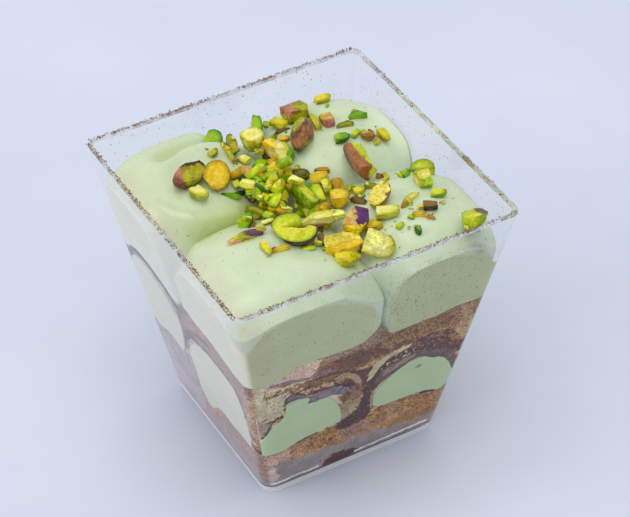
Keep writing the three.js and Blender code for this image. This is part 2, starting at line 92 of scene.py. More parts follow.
def outer_half(z):
    return BASE / 2 + (RIM - BASE) / 2 * z / HEIGHT


def food_half(z):
    return outer_half(z) - WALL - GAP


# The places of the upper and the lower mounds are given where the food is this wide, from the middle.
LEVEL_HALF, LOWER_HALF = food_half(66.0), food_half(28.0)

# Rises and dips of the layers, as shares of their width: x, y, reach and height.
BOTTOM_RELIEF = [(-0.95, 0.65, 0.42, 5.4), (-1, 0.04, 0.2, -7.2), (-1, -0.5, 0.35, -1.6),
                 (-0.82, -1, 0.24, -1.6), (0.9, -1, 0.25, -2.4), (0.9, 0.7, 0.4, 2)]
MARBLED_RELIEF = [(-0.72, 0.6, 0.6, 8), (-0.9, -0.6, 0.35, 3), (0, -1, 0.2, -1.6),
                  (0.95, -0.95, 0.22, -4.5), (0.8, 0.8, 0.4, 1.2)]
TOP_RELIEF = [(-0.72, 0.6, 0.55, 3.6), (-1, -0.45, 0.3, 1.8), (-0.55, -1, 0.2, 1),
              (-1, 0.02, 0.14, -2.5), (0.35, -1, 0.3, -0.8)]


def relief(places, x, y):
    return sum(rise * np.exp(-((x - px) ** 2 + (y - py) ** 2) / reach ** 2)
               for px, py, reach, rise in places)


def ridge(x, y):
    """The upper sponge rises under the creases between the mounds."""
    crease_x = mix(CREASE["front"], CREASE["back"], step(-0.3, 0.3, y)) / LEVEL_HALF
    crease_y = mix(CREASE["left"], CREASE["right"], (x + 1) / 2) / LEVEL_HALF
    near = np.minimum(np.abs(x - crease_x), np.abs(y - crease_y)) / 0.055
    return 3 * np.exp(-near * near)


def bottom_top(x, y):
    return 18.2 + relief(BOTTOM_RELIEF, x, y)


def marbled_top(x, y):
    return 39.2 + relief(MARBLED_RELIEF, x, y)


def sponge_top(x, y):
    return 46 + relief(TOP_RELIEF, x, y) + ridge(x, y)


# The upper cream's lower edge against the front and left walls: place along the wall, height.
CREAM_EDGE = {
    "front": [
        (-36, 46.3), (-32.6, 46.4), (-30, 45.7), (-27.6, 45.1), (-24.8, 45.3), (-21.3, 46.7), (-18.2, 47.5),
        (-14.8, 47.9), (-11.8, 47.6), (-7.5, 47.1), (-4.4, 46.9), (-1.3, 47.3), (0.8, 48.8), (2.4, 49.9),
        (3.7, 49.2), (5, 47), (6.2, 46.3), (10, 46.4), (14.3, 46.5), (18.1, 46.3), (21.2, 46.7), (24.3, 47.1),
        (27.5, 46.7), (36, 46.3)],
    "left": [
        (-36, 45.9), (-29, 45.6), (-24, 46.1), (-19, 47.1), (-14, 48), (-9, 47.9), (-5, 48.2), (-3, 49),
        (0, 48), (3, 45.5), (5, 46.2), (7, 47.1), (10.7, 48.2), (15.7, 49.1), (20, 49.3), (22.3, 49),
        (26, 47.6), (28.5, 45.6), (36, 45)],
}


def sponge_top_seen(x, y):
    """The upper sponge's top, brought to the measured edge where it meets the front and left walls."""
    z = sponge_top(x, y)
    half = food_half(47)
    for wall, across, towards in (("front", x, -y), ("left", y, -x)):
        edge = np.interp(across * half, *np.transpose(CREAM_EDGE[wall]))
        at_wall = sponge_top(x, -1 + 0 * y) if wall == "front" else sponge_top(-1 + 0 * x, y)
        near = step(0.8, 1.0, towards) * (1 if wall == "front" else 1 - step(0.8, 1.0, -y))
        z = z + near * (edge - at_wall)
    return z


# name, x limits, y limits, crown, heights at the left, right, front and back edges
UPPER = {
    "front_left": ((-LEVEL_HALF, 1.2), (-LEVEL_HALF, 1.5), (-19, -16, 70), (66.5, 65.5, 67.6, 64.5)),
    "front_right": ((1.2, LEVEL_HALF), (-LEVEL_HALF, 0), (17, -17, 70.2), (65, 66, 67, 65)),
    "back_left": ((-LEVEL_HALF, -1), (1.5, LEVEL_HALF), (-16, 18, 69.6), (66, 65.5, 61.5, 67.3)),
    "back_right": ((-1, LEVEL_HALF), (0, LEVEL_HALF), (17, 16, 70.4), (65, 65.3, 64.5, 62.8)),
}
LOWER = {
    "front_left": ((-LOWER_HALF, -2.6), (-LOWER_HALF, 5), (-17, -13, 40), (38.8, 25, 34.4, 29)),
    "front_right": ((3.6, LOWER_HALF), (-LOWER_HALF, 1.5), (15, -14, 34.5), (26, 28, 31.9, 27)),
    "back_left": ((-LOWER_HALF, -1.5), (8.5, LOWER_HALF), (-17, 18, 45.9), (45.4, 31, 36, 40)),
    "back_right": ((2, LOWER_HALF), (5, LOWER_HALF), (15, 17, 37.5), (28, 34, 29, 35)),
}
POWER, CROWN_POWER = 2.5, 2.2
UPPER_FOOT, LOWER_FOOT = 46, 14


def mound_height(mound, foot, x, y):
    (x0, x1), (y0, y1), (cx, cy, top), (left, right, front, back) = mound
    tx = np.abs((x - cx) / np.where(x < cx, x0 - cx, x1 - cx))
    ty = np.abs((y - cy) / np.where(y < cy, y0 - cy, y1 - cy))
    fall_x = 1 - ((np.where(x < cx, left, right) - foot) / (top - foot)) ** CROWN_POWER
    fall_y = 1 - ((np.where(y < cy, front, back) - foot) / (top - foot)) ** CROWN_POWER
    rest = 1 - fall_x * tx ** POWER - fall_y * ty ** POWER
    return foot + (top - foot) * np.maximum(rest, 0.01) ** (1 / CROWN_POWER)


def from_swirl(x, y):
    """Distance and direction from the middle of the swirl on the back left mound."""
    return np.hypot(x + 12.8, y - 13), np.degrees(np.arctan2(y - 13, x + 12.8))


def fold_depth(x, y):
    far, angle = from_swirl(x, y)
    off = (far - 17.3) / 2.1
    return 2.8 * step(45, 65, angle) * (1 - step(112, 132, angle)) * np.exp(-off * off)


def upper_height(name, x, y):
    height = mound_height(UPPER[name], UPPER_FOOT, x, y)
    return height - fold_depth(x, y) if name == "back_left" else height


def mound_under(x, y):
    left = x < (CREASE["front"] if y < CREASE["left"] else CREASE["back"])
    front = y < (CREASE["left"] if left else CREASE["right"])
    return ("front_" if front else "back_") + ("left" if left else "right")


def cream_height(x, y):
    """The height of the cream's top at a place on the plate, found in a few rounds."""
    name, z = mound_under(x, y), 66.0
    for _ in range(4):
        scale = food_half(z) / LEVEL_HALF
        z = float(upper_height(name, np.float64(x / scale), np.float64(y / scale)))
    return z


# ---------- noise, colours, meshes ----------

def lattice(ix, iy, iz, seed):
    n = (ix * 374761393 + iy * 668265263 + iz * 1274126177 + seed * 974634777) & 0xFFFFFFFF
    n = ((n ^ (n >> 13)) * 1103515245) & 0xFFFFFFFF
    n = ((n ^ (n >> 15)) * 2246822519) & 0xFFFFFFFF
    return ((n ^ (n >> 16)) & 0xFFFFFF) / 0x800000 - 1.0


def noise(points, seed=0):
    """Smooth noise from -1 to 1 with features about one unit across."""
    cell = np.floor(points).astype(np.int64)
    f = points - cell
    u = f * f * (3 - 2 * f)
    out = 0
    for dx in (0, 1):
        for dy in (0, 1):
            for dz in (0, 1):
                w = ((u[:, 0] if dx else 1 - u[:, 0]) * (u[:, 1] if dy else 1 - u[:, 1])
                     * (u[:, 2] if dz else 1 - u[:, 2]))
                out = out + w * lattice(cell[:, 0] + dx, cell[:, 1] + dy, cell[:, 2] + dz, seed)
    return out


def fbm(points, octaves=3, seed=0):
    total, weight = 0, 1.0
    for k in range(octaves):
        total = total + weight * noise(points * 2 ** k + 17.3 * k, seed + k)
        weight *= 0.5
    return total / 1.6


def rgb(r, g, b):
    """Linear colour from 0-255 display values."""
    v = np.array((r, g, b), float) / 255
    return np.where(v <= 0.04045, v / 12.92, ((v + 0.055) / 1.055) ** 2.4)


def blend(base, colour, weight):
    return base + (colour - base) * np.asarray(weight)[..., None]


def drawer(seed):
    state = [seed]

    def draw():
        state[0] = state[0] * 16807 % 2147483647
        return state[0] / 2147483647
    return draw


def make(name, points, quads, tris, material, colours=None, extra=None, nodes=(), slot=None, sharp=None,
         stage=False):
    """A mesh piece from arrays in millimetres; colours and extra values lie on its points."""
    mesh = bpy.data.meshes.new(name)
    quads = np.asarray(quads, np.int32).reshape(-1, 4)
    tris = np.asarray(tris, np.int32).reshape(-1, 3)
    mesh.vertices.add(len(points))
    mesh.vertices.foreach_set("co", (np.asarray(points) * MM).astype(np.float32).ravel())
    corners = np.concatenate([quads.ravel(), tris.ravel()])
    mesh.loops.add(len(corners))
    mesh.loops.foreach_set("vertex_index", corners)
    starts = np.concatenate([np.arange(len(quads)) * 4, len(quads) * 4 + np.arange(len(tris)) * 3])
    mesh.polygons.add(len(starts))
    mesh.polygons.foreach_set("loop_start", starts.astype(np.int32))
    mesh.update(calc_edges=True)
    mesh.validate()
    mesh.polygons.foreach_set("use_smooth", np.ones(len(mesh.polygons), bool))
    if sharp:
        mesh.set_sharp_from_angle(angle=math.radians(sharp))
    if colours is not None:
        layer = mesh.color_attributes.new("tint", "FLOAT_COLOR", "POINT")
        rgba = np.ones((len(points), 4), np.float32)
        rgba[:, :3] = np.clip(colours, 0, 1)
        layer.data.foreach_set("color", rgba.ravel())
    for key, values in (extra or {}).items():
        layer = mesh.attributes.new(key, "FLOAT", "POINT")
        layer.data.foreach_set("value", np.asarray(values, np.float32))
    mesh.materials.append(material)
    obj = bpy.data.objects.new(name, mesh)
    bpy.context.scene.collection.objects.link(obj)
    if stage:
        return
    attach(obj, "root")
    if nodes:
        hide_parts(*nodes)


def loft(rings, low_tip, high_tip):
    """Points, quads and triangles of a closed skin over rings that follow one another from below."""
    n, k = len(rings[0]), len(rings)
    points = np.vstack([np.reshape(low_tip, (1, 3)), *rings, np.reshape(high_tip, (1, 3))])
    j = np.arange(n)
    after = (j + 1) % n
    quads = [np.stack([1 + i * n + j, 1 + i * n + after, 1 + (i + 1) * n + after, 1 + (i + 1) * n + j], 1)
             for i in range(k - 1)]
    top = 1 + (k - 1) * n
    tris = [np.stack([0 * j, 1 + after, 1 + j], 1), np.stack([top + j, top + after, 0 * j + 1 + k * n], 1)]
    return points, np.vstack(quads), np.vstack(tris)


# ---------- materials ----------

class Nodes:
    """A short way to build a material's node tree."""

    def __init__(self, name):
        self.material = bpy.data.materials.new(name)
        self.material.use_nodes = True
        self.tree = self.material.node_tree
        self.tree.nodes.clear()

    def add(self, kind, inputs=None, **settings):
        """A node whose inputs are set to values or linked to the outputs of other nodes."""
        node = self.tree.nodes.new("ShaderNode" + kind)
        for key, value in settings.items():
            setattr(node, key, value)
        for key, value in (inputs or {}).items():
            if isinstance(value, bpy.types.NodeSocket):
                self.tree.links.new(value, node.inputs[key])
            else:
                node.inputs[key].default_value = value
        return node

    def place(self):
        return self.add("TexCoord").outputs["Object"]

    def tint(self):
        return self.add("VertexColor", layer_name="tint").outputs["Color"]

    def wet(self):
        return self.add("Attribute", attribute_name="wet").outputs["Fac"]

    def noise(self, scale, detail=3.0, rough=0.55):
        inputs = {"Vector": self.place(), "Scale": scale, "Detail": detail, "Roughness": rough}
        return self.add("TexNoise", inputs).outputs["Fac"]

    def ramp(self, value, *stops):
        node = self.add("ValToRGB", {"Fac": value})
        while len(node.color_ramp.elements) < len(stops):
            node.color_ramp.elements.new(0.5)
        for element, (position, tone) in zip(node.color_ramp.elements, stops):
            element.position = position
            element.color = (*np.broadcast_to(tone, 3), 1)
        return node.outputs["Color"]

    def times(self, a, b, share=1.0):
        return self.add("Mix", {0: share, 6: a, 7: b}, data_type="RGBA", blend_type="MULTIPLY").outputs[2]

    def maths(self, operation, *values):
        return self.add("Math", dict(enumerate(values)), operation=operation).outputs[0]

    def bump(self, height, distance, strength, over=None):
        inputs = {"Height": height, "Distance": distance, "Strength": strength}
        if over is not None:
            inputs["Normal"] = over
        return self.add("Bump", inputs).outputs["Normal"]

    def shader(self, colour, roughness, specular=0.5, normal=None, scatter=(), **more):
        """A principled shader; scatter is the weight, radius and scale of light inside the surface."""
        inputs = {"Base Color": colour, "Roughness": roughness, "Specular IOR Level": specular, **more}
        inputs.update(zip(("Subsurface Weight", "Subsurface Radius", "Subsurface Scale"), scatter))
        if normal is not None:
            inputs["Normal"] = normal
        return self.add("BsdfPrincipled", inputs).outputs[0]

    def mixed(self, share, first, second):
        return self.add("MixShader", {0: share, 1: first, 2: second}).outputs[0]

    def surface(self, shader):
        self.add("OutputMaterial", {"Surface": shader})
        return self.material


def cream_material():
    n = Nodes("pale_green_cream")
    shade = n.ramp(n.noise(160), (0.3, 0.955), (0.7, 1.03))
    fine = n.bump(n.noise(1500, 3, 0.6), 0.12 * MM, 0.35)
    normal = n.bump(n.noise(330, 3, 0.5), 0.5 * MM, 0.32, fine)
    rough = n.ramp(n.noise(420, 2), (0.3, 0.24), (0.7, 0.4))
    gloss = n.maths("SUBTRACT", 0.8, n.maths("MULTIPLY", n.wet(), 0.77))
    return n.surface(n.shader(n.times(n.tint(), shade), rough, gloss, normal,
                              (0.25, (1.0, 0.9, 0.6), 1.4 * MM)))


def crumb_material(name, dark, light, roughness, scale, depth, specular):
    """Grain from dark to light, calmer where the surface is wet. The depth is in millimetres."""
    n = Nodes(name)
    grain = n.noise(scale, 5, 0.65)
    shade = n.ramp(grain, (0.38, dark), (0.5, 0.92), (0.62, light))
    calm = n.maths("SUBTRACT", 1.0, n.wet())
    normal = n.bump(grain, depth * MM, 0.8, n.bump(n.noise(scale * 3.5), depth * 0.4 * MM, 0.5))
    rough = n.ramp(n.noise(scale * 0.6, 2), (0.35, roughness - 0.12), (0.65, roughness + 0.1))
    return n.surface(n.shader(n.times(n.tint(), shade, calm), rough, specular, normal))


def kernel_material():
    n = Nodes("pistachio_kernel")
    grain = n.noise(1300, 4, 0.6)
    shade = n.ramp(grain, (0.3, 0.88), (0.7, 1.1))
    rough = n.ramp(n.noise(900, 2), (0.3, 0.26), (0.7, 0.5))
    return n.surface(n.shader(n.times(n.tint(), shade), rough, 0.3, n.bump(grain, 0.16 * MM, 0.5),
                              (0.15, (1.0, 0.8, 0.1), 0.8 * MM)))


# The moulded rim is frosted above this height, the foot scuffed below this one.
FROSTED_ABOVE, SCUFFED_BELOW = 72.8, 2.7


def clear_material():
    n = Nodes("clear_moulded_plastic")
    rough = n.ramp(n.noise(60, 2), (0.35, 0.015), (0.7, 0.05))
    glass = n.shader((0.985, 0.99, 0.995, 1), rough, 0.05, **{"IOR": 1.5, "Transmission Weight": 1.0})
    through = n.add("BsdfTransparent", {"Color": (0.95, 0.955, 0.96, 1)}).outputs[0]
    dust, cocoa = n.shader((0.86, 0.87, 0.89, 1), 0.5), n.shader((0.26, 0.15, 0.09, 1), 0.9)
    # Fine scratches and dust, which show most at a glancing angle.
    facing = n.add("LayerWeight", {"Blend": 0.5}).outputs["Facing"]
    grain = n.ramp(n.noise(500, 2, 0.5), (0.35, 0.85), (0.65, 1.0))
    haze = n.maths("MULTIPLY", n.maths("MULTIPLY", n.maths("POWER", facing, 5.0), 0.3), grain)
    solid = n.mixed(haze, glass, dust)
    # The rim also has a patchy film of cocoa.
    height = n.add("SeparateXYZ", {0: n.place()}).outputs["Z"]
    rim = n.maths("MULTIPLY", n.maths("GREATER_THAN", height, FROSTED_ABOVE * MM), 0.95)
    foot = n.maths("MULTIPLY", n.maths("LESS_THAN", height, SCUFFED_BELOW * MM), 0.9)
    film = n.ramp(n.noise(260, 4, 0.65), (0.42, 0.06), (0.66, 0.62))
    solid = n.mixed(rim, solid, n.mixed(film, n.mixed(0.12, through, dust), cocoa))
    solid = n.mixed(foot, solid, n.mixed(0.68, through, dust))
    # Rays from lamps and from the food pass straight through, so that the walls cast no caustics,
    # and so do rays that have turned back and forth inside the wall.
    path = n.add("LightPath").outputs
    caught = n.maths("GREATER_THAN", path["Ray Depth"], 2.5)
    free = n.maths("MAXIMUM", n.maths("MAXIMUM", path["Is Shadow Ray"], path["Is Diffuse Ray"]), caught)
    return n.surface(n.mixed(free, solid, through))


CREAM = cream_material()
SPONGE = crumb_material("soaked_sponge", (0.3, 0.24, 0.2), (1.85, 1.75, 1.55), 0.62, 2300, 0.3, 0.06)
MARBLED = crumb_material("cocoa_marbling", (0.4, 0.34, 0.34), (1.55, 1.5, 1.4), 0.6, 2300, 0.2, 0.06)
KERNEL = kernel_material()
COCOA = crumb_material("cocoa_powder", 0.7, 1.2, 0.85, 2500, 0.1, 0.2)
CLEAR = clear_material()

# ---------- the cup ----------

def square_pattern(sides, corner_steps):
    """For a rounded square from the right side anticlockwise: where each point's corner centre lies,
    and its direction from there. sides are the steps along the back, left, front and right."""
    centres, arcs = [], []
    for quarter, steps in enumerate(sides):
        turn = quarter * math.pi / 2
        here, there = (math.sqrt(2) * np.array([math.cos(a), math.sin(a)])
                       for a in (turn + math.pi / 4, turn + 3 * math.pi / 4))
        for k in range(corner_steps + 1):
            angle = turn + k * math.pi / 2 / corner_steps
            centres.append(here)
            arcs.append((math.cos(angle), math.sin(angle)))
        for k in range(1, steps):
            centres.append(mix(here, there, k / steps))
            arcs.append(arcs[-1])
    return np.array(centres), np.array(arcs)


def square_ring(pattern, half, corner, z):
    centres, arcs = pattern
    half, corner, z = (np.broadcast_to(np.asarray(value, float), len(arcs)) for value in (half, corner, z))
    return np.column_stack([(half - corner)[:, None] * centres + corner[:, None] * arcs, z])


def cup_corner(z):
    return BASE_CORNER + (RIM_CORNER - BASE_CORNER) * z / HEIGHT


def make_cup():
    # Radii of the rim's edges, of the bend under the foot and of the fillet round the floor. Rings
    # this near to them keep the shading of the flat stretches clean.
    edge, bend, fillet, near = 0.35, 0.7, 1.2, 0.12
    pattern = square_pattern((8, 8, 8, 8), 12)
    rings = []

    def ring(z, inset):
        rings.append(square_ring(pattern, outer_half(z) - inset, max(cup_corner(z) - inset / 2, edge), z))

    def arc(steps):
        return [(math.sin(a), math.cos(a)) for a in (k / steps * math.pi / 2 for k in range(steps + 1))]
    ring(0, bend + near)
    for sine, cosine in arc(5):
        ring(bend * (1 - cosine), bend * (1 - sine))
    for z in (bend + near, 20, 40, 60, HEIGHT - edge - near):
        ring(z, 0)
    for sine, cosine in arc(4):
        ring(HEIGHT - edge * (1 - sine), edge * (1 - cosine))
    for sine, cosine in arc(4):
        ring(HEIGHT - edge * (1 - cosine), WALL - edge * (1 - sine))
    for z in (HEIGHT - edge - near, 60, 40, 20, FLOOR + fillet + near):
        ring(z, WALL)
    for sine, cosine in arc(4):
        ring(FLOOR + fillet * (1 - sine), WALL + fillet * (1 - cosine))
    ring(FLOOR, WALL + fillet + near)
    points, quads, tris = loft(rings, (0, 0, 0), (0, 0, FLOOR))
    make("cup_shell", points, quads, tris, CLEAR, nodes=["cup"], slot="clear_plastic", sharp=60)


make_cup()

# ---------- what lies against the walls ----------

# Light that reaches what lies against a wall, and light that the wall throws back over it, both as
# shares of white. With them the colours below can be given as they show through the wall.
BEHIND = {
    "front": ((0.585, 0.62, 0.7), (0.056, 0.061, 0.07)),
    "left": ((0.525, 0.55, 0.605), (0.23, 0.25, 0.29)),
}


def seen(wall, colour):
    """The colour that shows as the given one through a wall."""
    lit, thrown = BEHIND[wall]
    own = np.clip((rgb(*colour) - thrown) / lit, 0.008, 0.95)
    return np.maximum(own, own[0] * np.array((1, 0.5, 0.36))) if wall == "left" else own


INK, UMBER, RUST = (66, 46, 56), (84, 58, 54), (146, 98, 66)
# Each mark: colour as it shows, how ragged its edge is in millimetres, half width for a line or 0 for
# an area, colour and share of its specks, and the outline across the wall and up it. The lilac tints
# among the marks are painted reflections on the wet sponge and the veins.
FRONT_MARKS = [
    ((172, 154, 148), 1.0, 0, (126, 100, 88), 0.14, [
        (-33, 47), (-29, 45.6), (-25, 46), (-21, 47.4), (-15, 48.6), (-13, 47.4), (-13.6, 44.2),
        (-15.4, 42.2), (-20, 43), (-26, 44.8), (-33, 44)]),
    ((138, 125, 116), 1.3, 0, (110, 84, 66), 0.2, [
        (-13, 48.4), (-8, 48), (-3, 48), (1, 50.4), (3, 50.4), (4, 47), (2, 45), (-3, 45.4), (-9, 45),
        (-12, 45.4)]),
    ((116, 88, 64), 1.5, 0, (84, 58, 48), 0.34, [
        (-14, 44), (-8, 45), (-2, 45), (3, 44.4), (4, 41), (0, 39.2), (-4, 39.2), (-10, 41), (-14, 42)]),
    ((142, 116, 88), 1.4, 0, (100, 70, 44), 0.38, [
        (4, 47.4), (10, 47.4), (22, 47.8), (28, 47.4), (30, 40), (28, 33), (25, 36), (24, 40), (18, 41),
        (12, 41), (6, 41.6), (3.4, 43)]),
    ((100, 80, 66), 1.0, 0, (146, 112, 70), 0.26, [
        (4, 41.8), (12, 41.4), (14, 40), (12, 39.4), (5, 39.2), (1.6, 39.4)]),
    ((162, 141, 116), 1.2, 0, (130, 92, 50), 0.3, [
        (24.6, 46.6), (27.8, 46.2), (29.6, 40), (28.4, 33), (25.4, 33.4), (24.4, 38), (25.6, 42)]),
    ((168, 165, 148), 1.0, 0, (116, 90, 66), 0.22, [
        (-31.8, 44), (-28.5, 44.6), (-24, 43), (-19, 42.3), (-15, 41.5), (-14, 39.5), (-17, 38.9),
        (-21.4, 38.6), (-22.3, 35.5), (-21.7, 31.2), (-24.5, 30.6), (-26, 31.4), (-30.3, 31.9), (-31.9, 38)]),
    ((118, 108, 128), 0.4, 0.45, None, 0, [(-26.5, 44.6), (-21, 43.6), (-16.5, 42.2), (-13, 41.2)]),
    ((112, 100, 124), 0.9, 0, None, 0, [(-14, 43), (-10.5, 42.5), (-9.5, 41.2), (-12, 40.6), (-14, 41.4)]),
    ((120, 97, 81), 2.4, 0.5, None, 0, [(-27, 40.8), (-22, 40.7), (-17, 40.4), (-13, 39.8)]),
    ((129, 100, 83), 1.7, 0, INK, 0.34, [
        (-17, 41), (-12, 41.2), (-8, 40.6), (-4, 39.2), (-3.4, 37.5), (-7, 37.4), (-10, 38), (-14, 38),
        (-17, 39.2)]),
    ((147, 134, 114), 0.5, 0, (140, 112, 84), 0.15, [
        (-9, 37.6), (-7, 38.4), (-4.4, 37.9), (-2.4, 36.2), (-0.9, 33.6), (-0.3, 30.6), (-0.9, 29), (-2, 31),
        (-2.9, 33.4), (-4.8, 35.2), (-8, 36.4)]),
    ((151, 138, 117), 0.6, 0, (138, 112, 82), 0.16, [
        (-5.2, 19.6), (-3, 20.4), (-1, 22), (-0.2, 25), (-0.8, 27.4), (-3, 28), (-5.6, 27.4), (-5, 23)]),
    ((131, 109, 94), 1.1, 0, UMBER, 0.3, [
        (-5, 30), (-3.4, 31.4), (-2, 33), (-0.4, 31), (0.2, 28), (-0.6, 26), (-3, 26.6), (-5, 27.6)]),
    ((115, 86, 73), 0.8, 0, INK, 0.2, [(-6.6, 29.6), (-4.6, 30.4), (-3.4, 30.4), (-3.8, 27.6), (-5.4, 26)]),
    ((94, 72, 68), 0.5, 0.3, None, 0, [
        (-14, 40.7), (-8, 39.9), (-4.6, 38.5), (-1.6, 35.6), (-0.3, 32.4), (0, 30)]),
    ((92, 70, 68), 0.45, 0.24, None, 0, [(-12.5, 37.9), (-7, 36.7), (-4, 34.9), (-2.2, 32), (-1.5, 29.6)]),
    ((84, 62, 58), 1.3, 0, (150, 104, 84), 0.34, [
        (11.6, 37), (13, 40.4), (18, 40.4), (22.5, 39.6), (25.6, 36), (26, 32), (22, 32.4), (18, 34.4),
        (15, 35.6), (12.5, 35.8)]),
    ((140, 107, 80), 0.9, 0, UMBER, 0.3, [(22.4, 38.4), (24.6, 37.4), (26.8, 34), (26, 33), (23.6, 35)]),
    # Two small painted highlights: glints in the dark zone.
    ((120, 106, 105), 0.3, 0.34, None, 0, [(16.6, 38.7), (17.8, 39)]),
    ((130, 115, 112), 0.3, 0.3, None, 0, [(19.8, 38.3), (20.8, 38.5)]),
    ((78, 59, 56), 0.7, 0, (204, 176, 136), 0.26, [
        (4.3, 34.8), (6, 36.4), (9, 37.4), (12.4, 37.9), (14, 36.4), (12.5, 35.2), (8.5, 34.8), (5, 33.8)]),
    ((169, 161, 138), 0.35, 0, (150, 130, 104), 0.08, [
        (0.9, 31.4), (1.1, 34.4), (2.2, 37), (4.8, 38.6), (9.8, 39.7), (12.2, 39.3), (11.9, 38.3),
        (9.1, 37.8), (6, 36.9), (4.1, 35.3), (3.3, 33.5), (2, 31.8)]),
    ((81, 62, 64), 0.35, 0.24, None, 0, [(3.4, 33.4), (5.2, 35.9), (8.4, 37.3), (12.2, 38.1)]),
    ((82, 62, 60), 0.9, 0, (140, 124, 116), 0.12, [
        (2.3, 31.9), (3.5, 32.8), (5, 33.6), (5, 31.2), (4.4, 28.8), (3.5, 27.2), (3.2, 25), (3.5, 22.5),
        (4.3, 20), (2.3, 17.5), (1, 15.6), (-2.8, 15.3), (-5, 15.9), (-6.6, 18.1), (-4.6, 19.4), (-2.1, 20.6),
        (-0.9, 21.9), (-0.1, 25), (-0.4, 28.1), (0.5, 30), (1.2, 31.2)]),
    ((99, 88, 88), 0.4, 0, None, 0, [
        (5, 33.6), (8.5, 34.9), (12.3, 35.5), (15, 35.4), (17.9, 34), (21, 32.8), (23.9, 31.2), (25.8, 28.8),
        (26.4, 25), (26, 22), (25, 21.5), (24.8, 24), (23.5, 27.6), (21, 29.6), (18.5, 30.6), (15, 32.9),
        (12, 32.2), (9, 30.9), (6.5, 29.8), (4.6, 28.6), (3, 29)]),
    ((131, 118, 116), 0.35, 0, (110, 96, 100), 0.12, [
        (5.3, 33), (8.5, 34.1), (12.3, 34.9), (14.2, 34.6), (13.6, 33.7), (9.1, 32.1), (6.6, 31), (5.3, 31)]),
    ((106, 97, 103), 0.6, 0.42, INK, 0.2, [(16, 34), (18.2, 33), (20.8, 31.9), (23, 30.6), (24.4, 28.4)]),
    ((151, 136, 104), 0.3, 0.35, None, 0, [(3.3, 20.2), (2.9, 22.5), (3, 25), (3.6, 26.9)]),
    ((77, 60, 68), 0.3, 0.3, None, 0, [
        (-22.1, 34.9), (-21.5, 37.4), (-19.7, 38.4), (-17.7, 37), (-15.9, 35.6), (-12.8, 35.3), (-9, 35.1),
        (-7, 34.4), (-4.5, 32.4), (-3.6, 31.2), (-4.6, 30)]),
    ((119, 110, 120), 0.25, 0, None, 0, [
        (-21.1, 37.3), (-19.6, 37.9), (-17.8, 36.5), (-15.9, 35.2), (-12.8, 34.9), (-9, 34.7), (-7.1, 34),
        (-4.7, 32.1), (-4, 31.2), (-4.8, 30.4), (-5.9, 30.3), (-7.1, 30.9), (-9, 31.6), (-13.4, 31.6),
        (-15.4, 32.2), (-14.7, 33.4), (-15.8, 34.7), (-17.6, 35.3), (-19.3, 35.9), (-20.8, 35.6)]),
    ((109, 107, 131), 0.4, 0, None, 0, [
        (-9.5, 34.5), (-7.1, 33.8), (-4.9, 32), (-4.3, 31.2), (-5.2, 30.6), (-7, 31.2), (-8.6, 31.8)]),
    ((112, 106, 129), 0.4, 0, None, 0, [(-20.6, 37), (-19.2, 37.4), (-17.8, 36), (-19.4, 36)]),
    (INK, 0.25, 0.2, None, 0, [
        (-20.8, 35.5), (-19.3, 35.9), (-17.6, 35.3), (-15.8, 34.7), (-14.8, 33.4), (-15.5, 32.2),
        (-13.4, 31.5)]),
    ((108, 93, 101), 0.25, 0.14, None, 0, [(-13.4, 31.5), (-9, 31.5), (-7, 30.9), (-5.6, 30)]),
    ((141, 132, 132), 0.7, 0, (110, 100, 110), 0.12, [
        (-25.2, 30.4), (-26, 26.9), (-26.3, 25), (-27.8, 23.2), (-28.9, 25), (-29.8, 28.8), (-30.2, 31.4),
        (-27.5, 31.8)]),
    ((79, 62, 68), 0.3, 0.34, None, 0, [
        (-21.2, 30.5), (-22.4, 31), (-24.6, 30.1), (-25.6, 27.5), (-26, 25.2), (-27.4, 23.4), (-28, 24.8)]),
    ((100, 84, 82), 0.3, 0.18, None, 0, [(-31.8, 36), (-30.4, 30), (-29, 24.5), (-28.8, 21.4)]),
    ((156, 136, 128), 1.2, 0, (130, 100, 86), 0.15, [
        (-30, 19), (-27, 17.4), (-22, 16.2), (-18.4, 17), (-18.6, 12), (-25, 12), (-30, 13)]),
    ((131, 113, 108), 1.2, 0, UMBER, 0.14, [(-5, 15.6), (1, 15.9), (3.4, 14.4), (3, 11), (-4, 11), (-6, 13)]),
    ((144, 117, 102), 1.4, 0, (140, 100, 66), 0.2, [
        (3.6, 13.5), (9, 14.4), (14, 13), (16, 11), (10, 10.8), (4, 11.2)]),
    ((130, 106, 86), 1.3, 0, (110, 70, 44), 0.3, [(13, 12), (22.8, 13.4), (23.4, 8), (18, 7.6), (13, 9)]),
    ((124, 120, 126), 0.9, 0, (104, 92, 96), 0.1, [
        (-30, 13), (-24, 12.6), (-20, 12), (-15, 11.2), (-10, 10.9), (-5, 10), (0, 10), (5, 9.5), (10, 9),
        (13, 8), (16, 6.8), (20, 5.4), (22, 2), (-28, 2)]),
    ((163, 150, 150), 1.2, 0, None, 0, [(-29, 12), (-23, 11), (-21, 7), (-22, 3), (-28, 3)]),
    ((126, 118, 120), 0.8, 0, None, 0, [(17.6, 7), (22.6, 8.4), (22.4, 4.4), (18, 4.6)]),
    ((88, 72, 70), 0.7, 0, (70, 50, 48), 0.3, [(-9, 5.2), (-6, 7), (-2, 6.2), (1.2, 5), (0, 3), (-9, 3)]),
    # A painted highlight: the light line just above the floor, broken by the dark spot.
    ((191, 193, 204), 0.2, 0.3, None, 0, [(-23, 4.3), (-10, 4.3)]),
    ((191, 193, 205), 0.2, 0.3, None, 0, [(0.4, 4.3), (20.4, 4.7)]),
]
